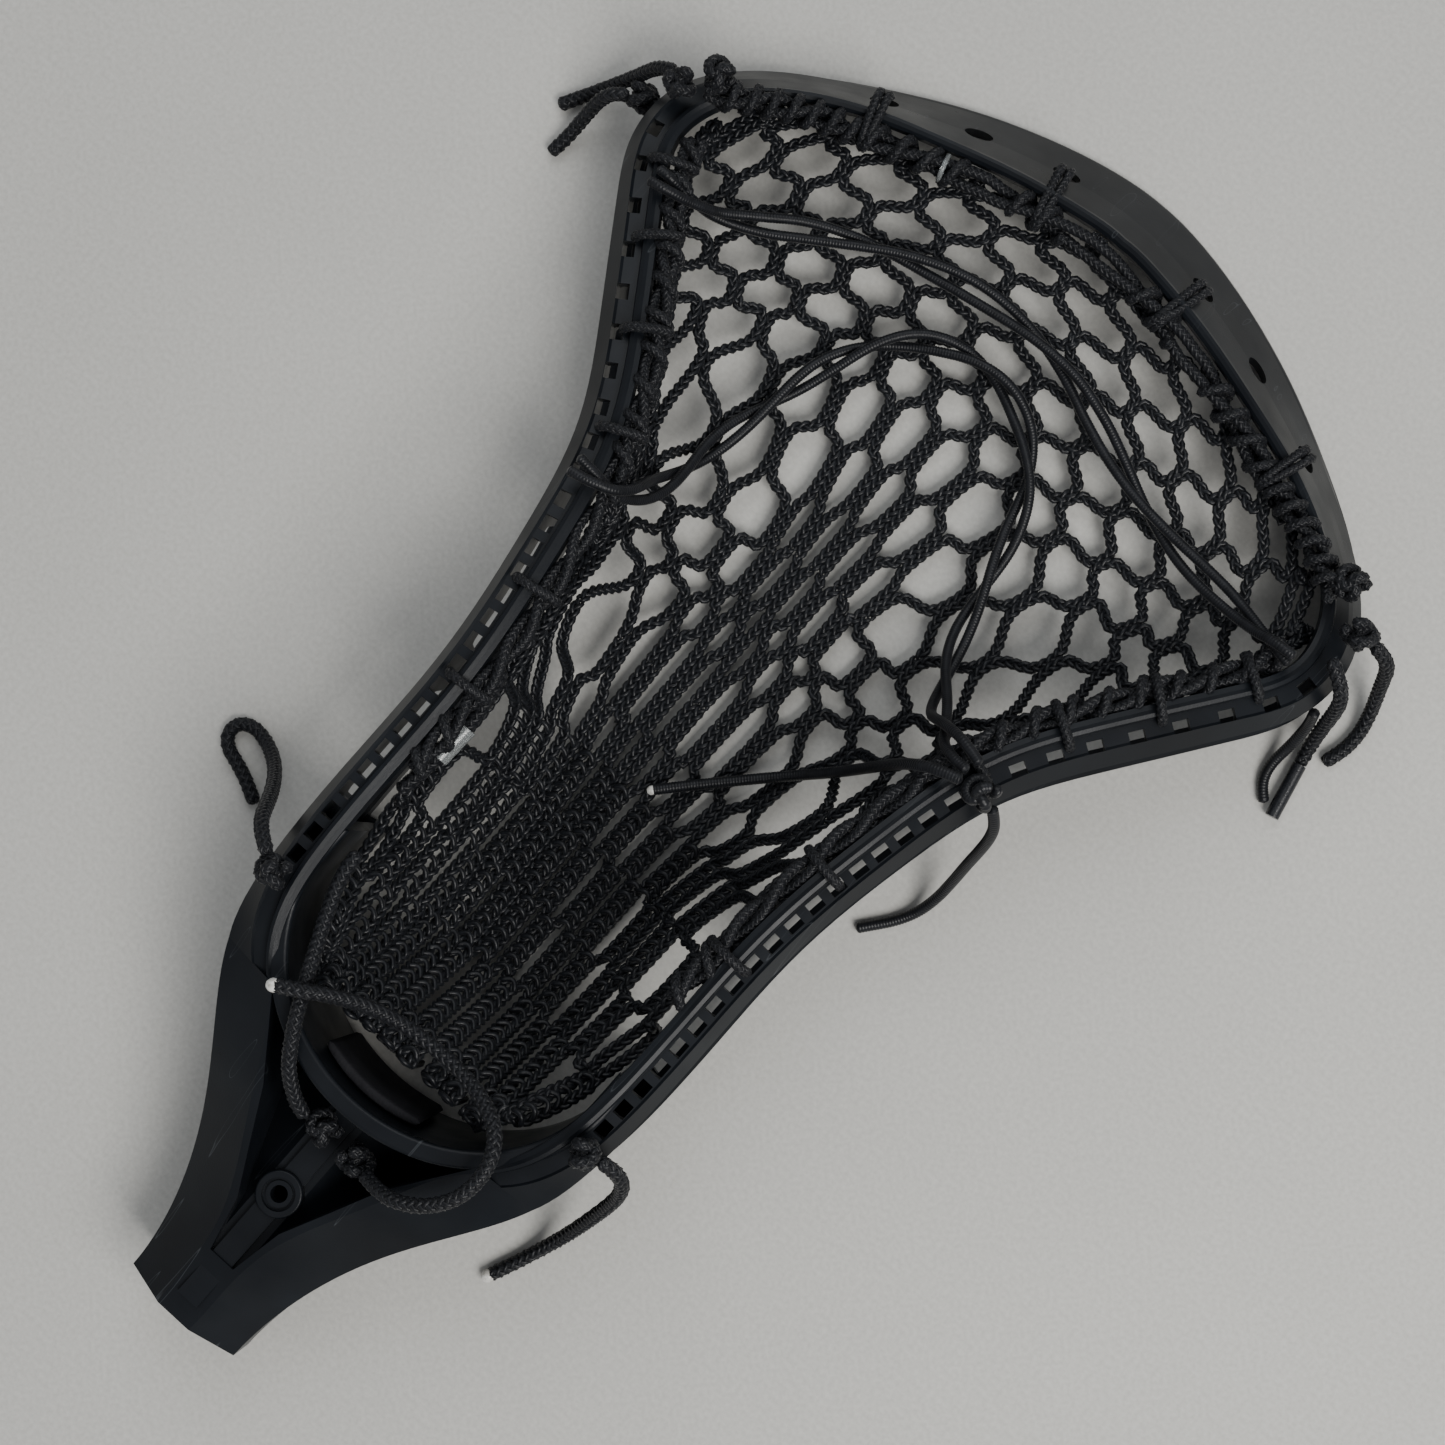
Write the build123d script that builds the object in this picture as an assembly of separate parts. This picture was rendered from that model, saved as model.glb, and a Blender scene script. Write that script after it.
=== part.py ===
from build123d import *
import math
import os

os.makedirs("parts", exist_ok=True)

# A strung field lacrosse head, lying face down. Millimetres.
# +Y runs from the throat to the scoop, +X is to the right seen from the back, +Z is up, out of the back.
# The origin is under the middle of the head, on the surface that it lies on.

# ---- driving dimensions -------------------------------------------------------------------------
LENGTH = 325.0             # throat end to scoop tip
THROAT_Y = -LENGTH / 2
SCOOP_Y = LENGTH / 2

SLEEVE_HALF_WIDTH = 14.8   # octagonal shaft sleeve
SLEEVE_HEIGHT = 30.0
SLEEVE_TOP_FLAT = 4.4      # half widths of its back and face facets
SLEEVE_FACE_FLAT = 6.5
SLEEVE_WALL = 2.1
SHAFT_END_Y = -105.0       # where the shaft stops

BOSS_Y = -127.5            # shaft screw
BOSS_RADIUS = 5.2
BOSS_RISE = 2.6            # above the sleeve
SCREW_HOLE_RADIUS = 1.9
RIB_HALF_WIDTH = 2.7
RIB_RISE = 1.2

ARM_JOIN_Y = -92.0         # where the throat arms become the sidewalls
SCOOP_JOIN_Y = 112.0       # and the sidewalls become the scoop
STOP_HALF_WIDTH = 38.0     # ball-stop wall: half an ellipse seen from the back
STOP_DEPTH = 33.0
STOP_CENTRE_Y = -66.0
STOP_WALL = 3.2
WEB = 3.0                  # floor web of the throat pockets

STOP_MOUTH = 8.0           # straight part of its sides
PAD_HALF_WIDTH = 13.5

HOLE_WIDTH = 2.7           # string holes in the back rail
HOLE_LENGTH = 3.6
HOLE_OFFSET = 5.2          # from the outline to the middle of the hole
HOLE_PITCH_LOW = 5.7       # beside the ball stop
HOLE_PITCH_HIGH = 10.3     # near the scoop
HOLE_FIRST = 24.0          # along the outline, from the arm
HOLE_LAST = 205.0
SCOOP_HOLES = (22, 44.5, 67.5)    # along the outline, from the scoop tip
WALL_SLOTS = [(-56, -22), (-15, 20), (28, 62), (69, 96)]    # Y where each window starts and ends

# (Y, value) along the head. The back edge is the top of the ridge, the face edge the underside of the face rail.
BACK_EDGE = [(-162.5, 30), (-148, 31.5), (-126, 38), (-104, 45.5), (-84, 49.5), (-50, 50), (-10, 49.5),
             (25, 45), (58, 37), (90, 29), (112, 24.5), (140, 21), (162.5, 20)]
FACE_EDGE = [(-162.5, 0), (-120, 0), (-80, 2.5), (-40, 5.5), (10, 7), (60, 5), (105, 2), (140, 0.6), (162.5, 0)]
# Width, seen from the back, from the outline to the ridge.
BAND = [(-92, 12.3), (-80, 8.6), (-60, 7.5), (0, 7.4), (60, 8.4), (104, 8), (125, 8.2), (140, 9.5), (150, 12.5),
        (162.5, 15.4)]
# Right half of the outline of the face, from the arms to the scoop tip.
OUTLINE = [(42.8, ARM_JOIN_Y), (46.6, -80), (48.4, -64), (48.7, -40), (49.1, -18), (54.3, 15), (60.6, 36.6),
           (73.8, 58.4), (89.4, 80.6), (96.3, 92.2), (98.5, 103), (97, 111.5), (93.2, 119.5), (84.3, 129.2),
           (66.5, 141), (50, 149.6), (28, 157.8), (0, SCOOP_Y)]
# The throat: half width and ridge position at (Y, X).
THROAT_OUTLINE = [(THROAT_Y, SLEEVE_HALF_WIDTH), (-156, 15.3), (-148.3, 16.4), (-137.4, 19.4), (-126, 23.9),
                  (-115, 29.8), (-104, 36.3), (ARM_JOIN_Y, 42.8)]
THROAT_RIDGE = [(THROAT_Y, SLEEVE_TOP_FLAT), (-145, 5.3), (-133, 7.8), (-122, 13), (-110, 18.5), (-100, 25),
                (ARM_JOIN_Y, 30.5)]
STATIONS = 26              # sections of half the ring

NET_BOTTOM_Y = -88.0       # lower edge of the net
NET_THICKNESS = 3.6
NET_FLOOR = 1.6            # height of its underside in the middle
NET_DROP = 9.0             # from the ridge down to the tied edge
NET_GAP = 0.8              # between the net and the rail's inner lip
NET_CORNERS = 20
NET_SLAB_HALF_WIDTH = 98.0
NET_STRIPS = 20            # across the slab that the net is cut from
NET_STATIONS = 25          # along it
NET_REACH = [(-88, 44), (-60, 27), (-20, 25), (30, 26), (80, 45), (120, 55), (147, 60)]    # width of the hanging rim

BRAID = 3.5                # lace diameters
NYLON = 2.5
TWIN_NYLON = 3.4           # two strands of shooting lace twisted together
TIP_DIAMETER = 3.2
TIP_LENGTH = 13.0
RAIL_LACE_GAP = 0.8
RAIL_LACE_DROP = 2.4
RAIL_LACE_STATIONS = (0.16, 0.24, 0.33, 0.4, 0.46, 0.52, 0.58, 0.64)


# ---- helpers ------------------------------------------------------------------------------------
def along(points, y):
    """The value at y on a smooth curve through a few (y, value) points."""
    y = min(max(y, points[0][0]), points[-1][0])
    i = 0
    while i < len(points) - 2 and y > points[i + 1][0]:
        i += 1
    (y0, v0), (y1, v1) = points[i], points[i + 1]
    before = points[max(i - 1, 0)]
    after = points[min(i + 2, len(points) - 1)]
    slope0 = (v1 - before[1]) / (y1 - before[0])
    slope1 = (after[1] - v0) / (after[0] - y0)
    t = (y - y0) / (y1 - y0)
    h = y1 - y0
    return ((2 * t**3 - 3 * t**2 + 1) * v0 + (t**3 - 2 * t**2 + t) * h * slope0
            + (3 * t**2 - 2 * t**3) * v1 + (t**3 - t**2) * h * slope1)


def polygon(points):
    return Face(Wire.make_polygon([Vector(*p) for p in points], close=True))


def smooth_step(value, low, high):
    t = min(max((value - low) / (high - low), 0), 1)
    return t * t * (3 - 2 * t)


def back_z(y):
    return along(BACK_EDGE, y)


def face_z(y):
    return along(FACE_EDGE, y)


def both_sides(shape):
    """The right-hand shape with its mirror image."""
    return shape + mirror(shape, about=Plane.YZ)


# ---- the moulded frame --------------------------------------------------------------------------
# The whole outline, from the right arm round the scoop to the left arm.
OUTLINE_CURVE = Spline(*OUTLINE, *[(-x, y) for x, y in reversed(OUTLINE[:-1])])


def outline_frame(t):
    """Outline point and inward normal, from the arm (t = 0) to the scoop tip (t = 1)."""
    point = OUTLINE_CURVE @ (t / 2)
    tangent = OUTLINE_CURVE % (t / 2)
    square = smooth_step(point.Y, -75, -40)
    normal = Vector(-tangent.Y, tangent.X, 0) * square + Vector(-1, 0, 0) * (1 - square)
    return point, normal.normalized()


def rail_section(y):
    """Closed section of the sidewall at y as (distance in from the outline, height) pairs."""
    low, high, band = face_z(y), back_z(y), along(BAND, y)
    lip = smooth_step(y, 100, 148)            # 0 on the sidewalls, 1 on the scoop
    groove = smooth_step(y, ARM_JOIN_Y, -70)  # the groove above the face rail fades out on the arms
    side = [(0, low), (0, low + 4.5), (1.1 * groove, low + 5.6), (0.6 * groove, high - 5.5),
            (band - 4.5, high - 1.5), (band - 3.9, high - 2), (band - 0.4, high - 2), (band, high - 0.3),
            (band + 0.8, high), (band + 1.6, high - 0.5), (band + 2.7, high - 0.8), (band + 2.9, high - 4.6),
            (5, high - 5.4), (3.7, high - 7.4), (3.7, low + 5.6), (5.3, low + 4.4), (5.3, low)]
    flare = (high - low - 4) / (band - 0.8)
    scoop = [(0, low), (-0.1, low + 1.6), (0.3, low + 2.6), (0.9, low + 3.3),
             (0.35 * band, low + 3.3 + flare * (0.35 * band - 0.9)),
             (0.6 * band, low + 3.3 + flare * (0.6 * band - 0.9)), (band - 0.5, high - 1),
             (band, high - 0.2), (band + 0.7, high), (band + 1.5, high - 0.4), (band + 2.1, high - 1.2),
             (band + 2.2, high - 3.2), (band + 0.6, high - 4.2), (band - 1.2, high - 5.6), (5.2, low + 2),
             (4.4, low + 0.6), (3.6, low)]
    return [(a[0] + (b[0] - a[0]) * lip, a[1] + (b[1] - a[1]) * lip) for a, b in zip(side, scoop)]


def half_ring():
    sections = []
    for i in range(STATIONS):
        point, normal = outline_frame(i / (STATIONS - 1))
        corners = [point + normal * inward + Vector(0, 0, z) for inward, z in rail_section(point.Y)]
        sections.append(Face(Wire.make_polygon(corners, close=True)))
    return loft(sections)


def throat_block():
    """The throat's outer shape: an octagon that widens into the two arms."""
    sections = []
    for y in (THROAT_Y, -152, -139, -124, -108, ARM_JOIN_Y):
        wide, ridge = along(THROAT_OUTLINE, y), along(THROAT_RIDGE, y)
        low, high = face_z(y), back_z(y)
        spread = smooth_step(y, -155, -98)   # 0 on the octagon, 1 on the arms
        shoulder = high - 8.5 + 3 * spread
        chamfer_up = 8 - 6.5 * spread
        chamfer_in = (SLEEVE_HALF_WIDTH - SLEEVE_FACE_FLAT) * (1 - 0.9 * spread)
        right = [(ridge, high), (wide, shoulder), (wide, low + chamfer_up), (wide - chamfer_in, low)]
        left = [(-x, z) for x, z in reversed(right)]
        sections.append(polygon([(x, y, z) for x, z in right + left]))
    return loft(sections)


def octagon(grow):
    """The sleeve's section, square to Y, grown outward by grow, as (x, z) points."""
    half, top, bottom = SLEEVE_HALF_WIDTH + grow, SLEEVE_HEIGHT + grow, -grow
    upper, lower = SLEEVE_TOP_FLAT + 0.4 * grow, SLEEVE_FACE_FLAT + 0.4 * grow
    right = [(upper, top), (half, SLEEVE_HEIGHT - 8.5 + 0.4 * grow), (half, 8 - 0.4 * grow), (lower, bottom)]
    return right + [(-x, z) for x, z in reversed(right)]


def along_y(points, start, end):
    """A prism from start to end along Y of a section given as (x, z) points."""
    return extrude(polygon([(x, start, z) for x, z in points]), amount=end - start, dir=(0, 1, 0))


def stop_disc(grow, low, high):
    """The space inside the ball-stop U, grown by grow: half an ellipse with a straight mouth."""
    half, deep = STOP_HALF_WIDTH + grow, STOP_DEPTH + grow
    shape = Pos(0, STOP_CENTRE_Y) * Ellipse(half, deep)
    shape += Pos(0, STOP_CENTRE_Y + STOP_MOUTH / 2) * Rectangle(2 * half, STOP_MOUTH)
    shape -= Pos(0, STOP_CENTRE_Y + STOP_MOUTH + deep / 2) * Rectangle(2.2 * half, deep)
    return extrude(Pos(0, 0, low) * shape, amount=high - low)


def ball_stop_wall():
    wall = stop_disc(STOP_WALL, 2.5, 46) - stop_disc(0, 0, 60)
    rim = stop_disc(STOP_WALL + 0.6, 45, 48.4) - stop_disc(-0.3, 0, 60)
    rim = fillet(rim.edges().group_by(Axis.Z)[-1], 0.9)
    return wall + rim


def throat_pockets():
    """The two deep pockets between the rib and the arms, joined round the sleeve."""
    right = [(along(THROAT_RIDGE, y) - 1.9, y) for y in (-146, -133, -122, -110, -100, ARM_JOIN_Y)]
    right += [(STOP_HALF_WIDTH + 0.5, -84), (STOP_HALF_WIDTH + 0.5, -60)]
    left = [(-x, y) for x, y in reversed(right)]
    return extrude(polygon([(x, y, WEB) for x, y in right + left]), amount=60)


def pocket_floor():
    """The web that closes the pockets on the face side, beside the ball stop."""
    right = [(41, ARM_JOIN_Y - 1), (44.6, -80), (46, -68), (46, STOP_CENTRE_Y + STOP_MOUTH), (36, -56), (30, -94)]
    return both_sides(extrude(polygon([(x, y, 4) for x, y in right]), amount=WEB))


def screw_boss():
    top = SLEEVE_HEIGHT + BOSS_RISE
    boss = Pos(0, BOSS_Y, SLEEVE_HEIGHT - 2) * extrude(Circle(BOSS_RADIUS), amount=BOSS_RISE + 2)
    boss = fillet(boss.edges().group_by(Axis.Z)[-1], 0.5)
    seat = Pos(0, BOSS_Y, top - 1.3) * extrude(Circle(3.7) - Circle(2.9), amount=3)
    dish = Pos(0, BOSS_Y, top - 0.7) * extrude(Circle(3.2), amount=3)
    return boss - seat - dish


def throat():
    """Sleeve, arms, pockets, rib, boss and ball stop."""
    sleeve = along_y(octagon(0), THROAT_Y, STOP_CENTRE_Y - STOP_DEPTH - 1)
    rib_length = STOP_CENTRE_Y - STOP_DEPTH - 1 - THROAT_Y
    rib = Pos(0, THROAT_Y + rib_length / 2, SLEEVE_HEIGHT) * Box(
        2 * RIB_HALF_WIDTH, rib_length - 10, 2 * RIB_RISE)
    return throat_block() - throat_pockets() + sleeve + rib + screw_boss()


def string_holes():
    """Oblong holes down the channel of the right back rail, closer together low on the head."""
    holes = []
    travel = HOLE_FIRST
    length = OUTLINE_CURVE.length / 2
    while travel < HOLE_LAST:
        point, normal = outline_frame(travel / length)
        place = Plane(origin=point + normal * HOLE_OFFSET + Vector(0, 0, back_z(point.Y) - 4), x_dir=normal,
                      z_dir=(0, 0, 1))
        holes.append(place * Box(HOLE_WIDTH, HOLE_LENGTH, 10))
        travel += HOLE_PITCH_LOW + (HOLE_PITCH_HIGH - HOLE_PITCH_LOW) * smooth_step(point.Y, 5, 80)
    return holes


def scoop_holes():
    """Oval holes through the right half of the scoop's lip."""
    holes = []
    length = OUTLINE_CURVE.length / 2
    for from_tip in SCOOP_HOLES:
        point, normal = outline_frame(1 - from_tip / length)
        place = Plane(origin=point + normal * 0.56 * along(BAND, point.Y), x_dir=normal, z_dir=(0, 0, 1))
        holes.append(place * extrude(Ellipse(1.5, 3.3), amount=60))
    return holes


def wall_slots():
    """Long windows through the right sidewall, as seen from the side."""
    slots = []
    for start, end in WALL_SLOTS:
        lean = 3.0
        corners = [(start, face_z(start) + 9), (end, face_z(end) + 9), (end - lean, back_z(end) - 11),
                   (start + lean, back_z(start) - 11)]
        window = polygon([(20, y, z) for y, z in corners])
        window = fillet(window.vertices(), 2.2)
        slots.append(extrude(window, amount=90, dir=(1, 0, 0)))
    return slots


def moulding():
    """The whole moulded frame."""
    side = half_ring() - string_holes() - scoop_holes() - wall_slots()
    frame = both_sides(side) + throat() + pocket_floor() + ball_stop_wall()
    frame -= stop_disc(0, -5, 44)
    frame -= along_y(octagon(-SLEEVE_WALL), THROAT_Y - 1, SHAFT_END_Y)
    frame -= Pos(0, BOSS_Y, SLEEVE_HEIGHT / 2) * extrude(Circle(SCREW_HOLE_RADIUS), amount=SLEEVE_HEIGHT)
    return frame


def region(x0, x1, y0, y1):
    """All space between two X and two Y values."""
    return Pos((x0 + x1) / 2, (y0 + y1) / 2, 30) * Box(x1 - x0, y1 - y0, 120)


def moulding_pieces():
    """The moulded frame, parted where it turns, so that each node bends round nothing."""
    frame = moulding()
    boss_space = Pos(0, BOSS_Y, SLEEVE_HEIGHT / 2) * extrude(Circle(BOSS_RADIUS), amount=SLEEVE_HEIGHT)
    stop_space = stop_disc(STOP_WALL + 0.6, -5, 60)
    rest = frame - boss_space - stop_space
    return {
        "screw_boss": frame & boss_space,
        "ball_stop": frame & stop_space,
        "throat": rest & region(-120, 120, -170, ARM_JOIN_Y),
        "right_sidewall": rest & region(0, 120, ARM_JOIN_Y, SCOOP_JOIN_Y),
        "left_sidewall": rest & region(-120, 0, ARM_JOIN_Y, SCOOP_JOIN_Y),
        "scoop": rest & region(-120, 120, SCOOP_JOIN_Y, 170),
    }


def ball_stop_pad():
    pad = stop_disc(-0.25, 7, 38) - stop_disc(-3.2, 0, 60)
    return pad & Pos(0, STOP_CENTRE_Y - STOP_DEPTH, 22) * Box(2 * PAD_HALF_WIDTH, 30, 60)


# ---- the net ------------------------------------------------------------------------------------
def rail_point(t, inward, drop):
    """A point beside the right rail: inward from the inner lip of the rail and drop below its ridge."""
    point, normal = outline_frame(t)
    return point + normal * (along(BAND, point.Y) + 2.9 + inward) + Vector(0, 0, back_z(point.Y) - drop)


def net_outline():
    """Corners of the net's edge, anticlockwise from the bottom right, as (x, y)."""
    right = [(19, NET_BOTTOM_Y), (28, -81), (33, -70)]
    for i in range(NET_CORNERS):
        point = rail_point(0.15 + 0.85 * i / (NET_CORNERS - 1), NET_GAP, 0)
        right.append((point.X, point.Y))
    return right + [(-x, y) for x, y in reversed(right[:-1])]


def distance_to_edge(x, y, edge):
    """Distance from (x, y) to the closed outline edge."""
    best = 1e9
    for (x0, y0), (x1, y1) in zip(edge, edge[1:] + edge[:1]):
        dx, dy = x1 - x0, y1 - y0
        t = min(max(((x - x0) * dx + (y - y0) * dy) / (dx * dx + dy * dy), 0), 1)
        best = min(best, math.hypot(x - x0 - t * dx, y - y0 - t * dy))
    return best


def net_height(x, y, edge):
    """Height of the net's underside: tied up at its edge, sagging to the floor in the middle."""
    reach = along(NET_REACH, y)
    hang = 1 - min(distance_to_edge(x, y, edge) / reach, 1)
    tied = back_z(y) - NET_DROP
    return NET_FLOOR + (tied - NET_FLOOR) * hang**2.2


def mesh_pocket():
    """The net as a slab of the net's outline and sag, cut from a wider one."""
    edge = net_outline()
    columns = [NET_SLAB_HALF_WIDTH * (2 * i / NET_STRIPS - 1) for i in range(NET_STRIPS + 1)]
    sections = []
    for i in range(NET_STATIONS):
        y = NET_BOTTOM_Y - 4 + (SCOOP_Y - NET_BOTTOM_Y) * i / (NET_STATIONS - 1)
        under = [(x, y, net_height(x, y, edge)) for x in columns]
        over = [(x, y, z + NET_THICKNESS) for x, y, z in reversed(under)]
        sections.append(polygon(under + over))
    return loft(sections) & extrude(polygon([(x, y, -5) for x, y in edge]), amount=70)


# ---- laces --------------------------------------------------------------------------------------
def tube(name, points, diameter):
    """A lace along straight runs joined by arcs as large as the runs allow."""
    points = [Vector(*p) for p in points]
    radii = []
    for before, here, after in zip(points, points[1:], points[2:]):
        turn = math.radians((here - before).get_angle(after - here))
        radii.append(0.45 * min((here - before).length, (after - here).length) / math.tan(turn / 2))
    route = FilletPolyline(*points, radius=radii) if len(points) > 2 else Line(*points)
    section = Plane(origin=points[0], z_dir=points[1] - points[0]) * Circle(diameter / 2)
    lace = sweep(section, path=route)
    wanted = math.pi * diameter**2 / 4 * route.length
    print(f"{name}: {route.length:.0f} mm, radii {min(radii or [0]):.1f} up, volume {lace.volume / wanted:.3f}")
    return lace


def knot(x, y, z, size):
    """A tight round knot."""
    return Pos(x, y, z) * Sphere(size / 2)


def rail_lace(name, side, stations, diameter):
    """A lace that runs along the inner lip of one rail. side is 1 on the right and -1 on the left."""
    points = [rail_point(t, RAIL_LACE_GAP + diameter / 2, RAIL_LACE_DROP) for t in stations]
    return tube(name, [(side * p.X, p.Y, p.Z) for p in points], diameter)


def top_string():
    right = [rail_point(t, RAIL_LACE_GAP + 2, 2.6) for t in (0.79, 0.83, 0.87, 0.91, 0.95, 0.985)]
    left = [Vector(-p.X, p.Y, p.Z) for p in reversed(right)]
    return tube("top_string", [tuple(p) for p in right + left], 4)


FREE_LACES = {
    # name: (diameter, route)
    "top_left_outer_tail": (BRAID, [(-97.4, 110, 26.8), (-101, 109.6, 23.4), (-103.9, 108.2, 18.4),
                                    (-106.6, 106.2, 13.2), (-109.4, 103.8, 8.8), (-112.2, 101, 5.2),
                                    (-114.8, 97.8, 2.8), (-117, 94.6, 1.9), (-118.9, 91.2, 1.9)]),
    "top_left_inner_tail": (BRAID, [(-104.6, 101.2, 15.6), (-107.6, 99.7, 14.8), (-109.8, 97.3, 11.8),
                                    (-111, 94.2, 7.8), (-111.8, 90.6, 4.4), (-112.4, 86.2, 2.2),
                                    (-113, 81.7, 1.9)]),
    "top_right_loop_tail": (BRAID, [(97.2, 113.6, 28.2), (101, 113.6, 26), (103.6, 112.8, 20.6), (105, 111.6, 14),
                                    (106.6, 109.6, 8.4), (108.4, 106.6, 4.2), (109.8, 102.4, 2), (110, 98, 1.9),
                                    (109.2, 94.2, 1.9), (108.2, 91.2, 1.9)]),
    "top_right_tip_tail": (BRAID, [(92.4, 105, 31.2), (97, 102.6, 30.6), (99.9, 100.6, 26.6), (101.2, 98.8, 20),
                                   (102, 96.8, 12.4), (102.9, 94, 6.2), (103.8, 90.9, 2.3), (104.6, 87.4, 2.3)]),
    "top_right_shooting_tail": (NYLON, [(98.2, 96.4, 17), (99.4, 94.6, 12.4), (99.9, 91.8, 8), (100, 88, 4.4),
                                        (99.8, 84.2, 2.1), (100.4, 80.6, 1.4), (102.2, 77.8, 1.4),
                                        (104.4, 76, 1.4)]),
    "shooting_outer_tail": (NYLON, [(59.2, 33.8, 45), (62, 32, 41.6), (63.3, 29.2, 36), (63.6, 25.8, 28.8),
                                    (63.7, 22, 20.4), (64, 17.4, 12.2), (64, 12.2, 5.8), (62.9, 7, 2.2),
                                    (60.4, 2.4, 1.4), (57.6, -1.2, 1.4), (54.9, -4.6, 1.4)]),
    "shooting_inner_tail": (NYLON, [(51, 33.8, 49.8), (46, 32.4, 49), (41.4, 30.2, 44.6), (38, 27.6, 36.4),
                                    (34.6, 24.2, 25.2), (29.4, 18.6, 15.4), (22, 11.4, 9.2), (13, 2, 7.2),
                                    (4.6, -7, 6.9), (0.8, -11.4, 6.9)]),
    "bottom_right_tail": (BRAID, [(46.4, -73.2, 54.3), (50.4, -72.8, 52.4), (53.2, -74.4, 47.4), (54.4, -77.8, 39.6),
                                  (54.2, -82.6, 30.4), (53.4, -88.2, 21), (52.4, -94, 12.6), (51, -99.8, 6.2),
                                  (49.2, -105.4, 2.6), (47, -111.2, 1.9), (44.6, -116.8, 1.9)]),
    "bottom_left_tail": (BRAID, [(-46.2, -72, 54.4), (-50.2, -70, 52.8), (-53.4, -68.2, 47.8), (-55.8, -66.6, 40),
                                 (-58.6, -65.2, 30.4), (-62, -63.8, 20.4), (-65.8, -62.6, 11.4), (-69.8, -61.6, 5),
                                 (-73.4, -60.8, 2.3), (-76.8, -60.4, 1.9), (-80, -61.8, 1.9), (-80.8, -65.2, 1.9),
                                 (-78.4, -68, 1.9), (-74, -69.2, 1.9), (-69.4, -71, 1.9), (-65.2, -73.4, 1.9)]),
    "bottom_string_tail": (BRAID, [(11.6, -110.2, 41.4), (16.2, -109.8, 46.4), (21.4, -108, 50),
                                   (26.8, -103.8, 52.2), (30.6, -97.2, 54.6), (30.8, -89.4, 54.4), (27.2, -83.4, 52),
                                   (20.6, -80.8, 48.4), (13.2, -80, 45.2), (5, -80.2, 43.8), (-3.4, -80.9, 44.2),
                                   (-10.8, -82.5, 48), (-16.6, -84.8, 52.4), (-22, -87.8, 55),
                                   (-27.4, -91.2, 54)]),
    "left_sidewall_tail": (BRAID, [(-36.6, -11.6, 42.8), (-34.9, -17.6, 42.6), (-34.2, -24.4, 42.4),
                                   (-34.7, -36, 42.2), (-36.3, -45.6, 42)]),
}


def bottom_string():
    return tube("bottom_string", [(-33.4, -60, 46.8), (-32.6, -66.4, 46.9), (-30, -73.4, 47.3), (-26.6, -80.6, 48.5),
                                  (-23, -87.4, 50.5), (-19, -94.8, 51.6), (-14.6, -102.2, 49.4), (-10, -107.4, 43.8),
                                  (-6, -109.8, 40)], BRAID)


def upper_shooting_string():
    return tube("upper_shooting_string", [
        (-85, 89.2, 32), (-80.5, 89.8, 31.8), (-75.6, 91.2, 26.4), (-70.4, 93.6, 20), (-62.6, 98.6, 16.6),
        (-54, 104.6, 15), (-43.6, 110.2, 14), (-32.6, 114.6, 13.6), (-18.6, 118.2, 13.6), (-4, 119.4, 13.6),
        (9.4, 117.8, 13.6), (20.4, 114.2, 13.6), (31.4, 110, 13.6), (42, 106.4, 14), (54.6, 103.6, 15.6),
        (68.8, 101.8, 20), (77, 100.4, 25), (82.4, 99.6, 30), (86.5, 99.4, 31)], TWIN_NYLON)


def lower_shooting_string():
    return tube("lower_shooting_string", [
        (-53.5, 30.4, 48.2), (-48.4, 30.8, 47.6), (-43.9, 31.8, 45.2), (-41, 34.6, 38), (-39.6, 40.4, 27),
        (-39, 51, 16), (-37.6, 62, 12), (-35, 74, 10.2), (-32, 85.6, 9.8), (-27.4, 95, 9.8), (-20.6, 102.4, 9.8),
        (-12, 106.8, 9.8), (-3.4, 107.8, 9.8), (5, 105.8, 9.8), (13, 101, 9.8), (19.4, 93.4, 9.8), (23.6, 83, 9.8),
        (26.6, 71.6, 10.2), (29.6, 60, 12), (33.4, 49.6, 17.6), (37.6, 42.6, 27.6), (41.4, 39.6, 38.6), (45.4, 38.4, 45.4),
        (51, 37.4, 48.6)], TWIN_NYLON)


def lace_tip():
    """The sleeved tip on the end of the top right tail."""
    route = FREE_LACES["top_right_tip_tail"][1]
    before, end = Vector(*route[-2]), Vector(*route[-1])
    ahead = (end - before).normalized()
    return extrude(Plane(origin=end, z_dir=ahead) * Circle(TIP_DIAMETER / 2), amount=TIP_LENGTH)


def label_sleeve():
    """The clear sleeve round the end of the left sidewall lace."""
    route = FREE_LACES["left_sidewall_tail"][1]
    start, end = Vector(*route[2]), Vector(*route[3])
    along_lace = Plane(origin=start + (end - start) * 0.12, z_dir=end - start)
    return extrude(along_lace * (Circle(2.3) - Circle(1.85)), amount=(end - start).length * 0.76)


def clear_ring():
    """A thin clear ring round the top string."""
    place, beside = rail_point(0.83, RAIL_LACE_GAP + 2, 2.6), rail_point(0.87, RAIL_LACE_GAP + 2, 2.6)
    middle = (place + beside) / 2
    across = beside - place
    ring = Plane(origin=(-middle.X, middle.Y, middle.Z), z_dir=(-across.X, across.Y, across.Z)) * Torus(2.9, 0.55)
    return ring


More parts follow.
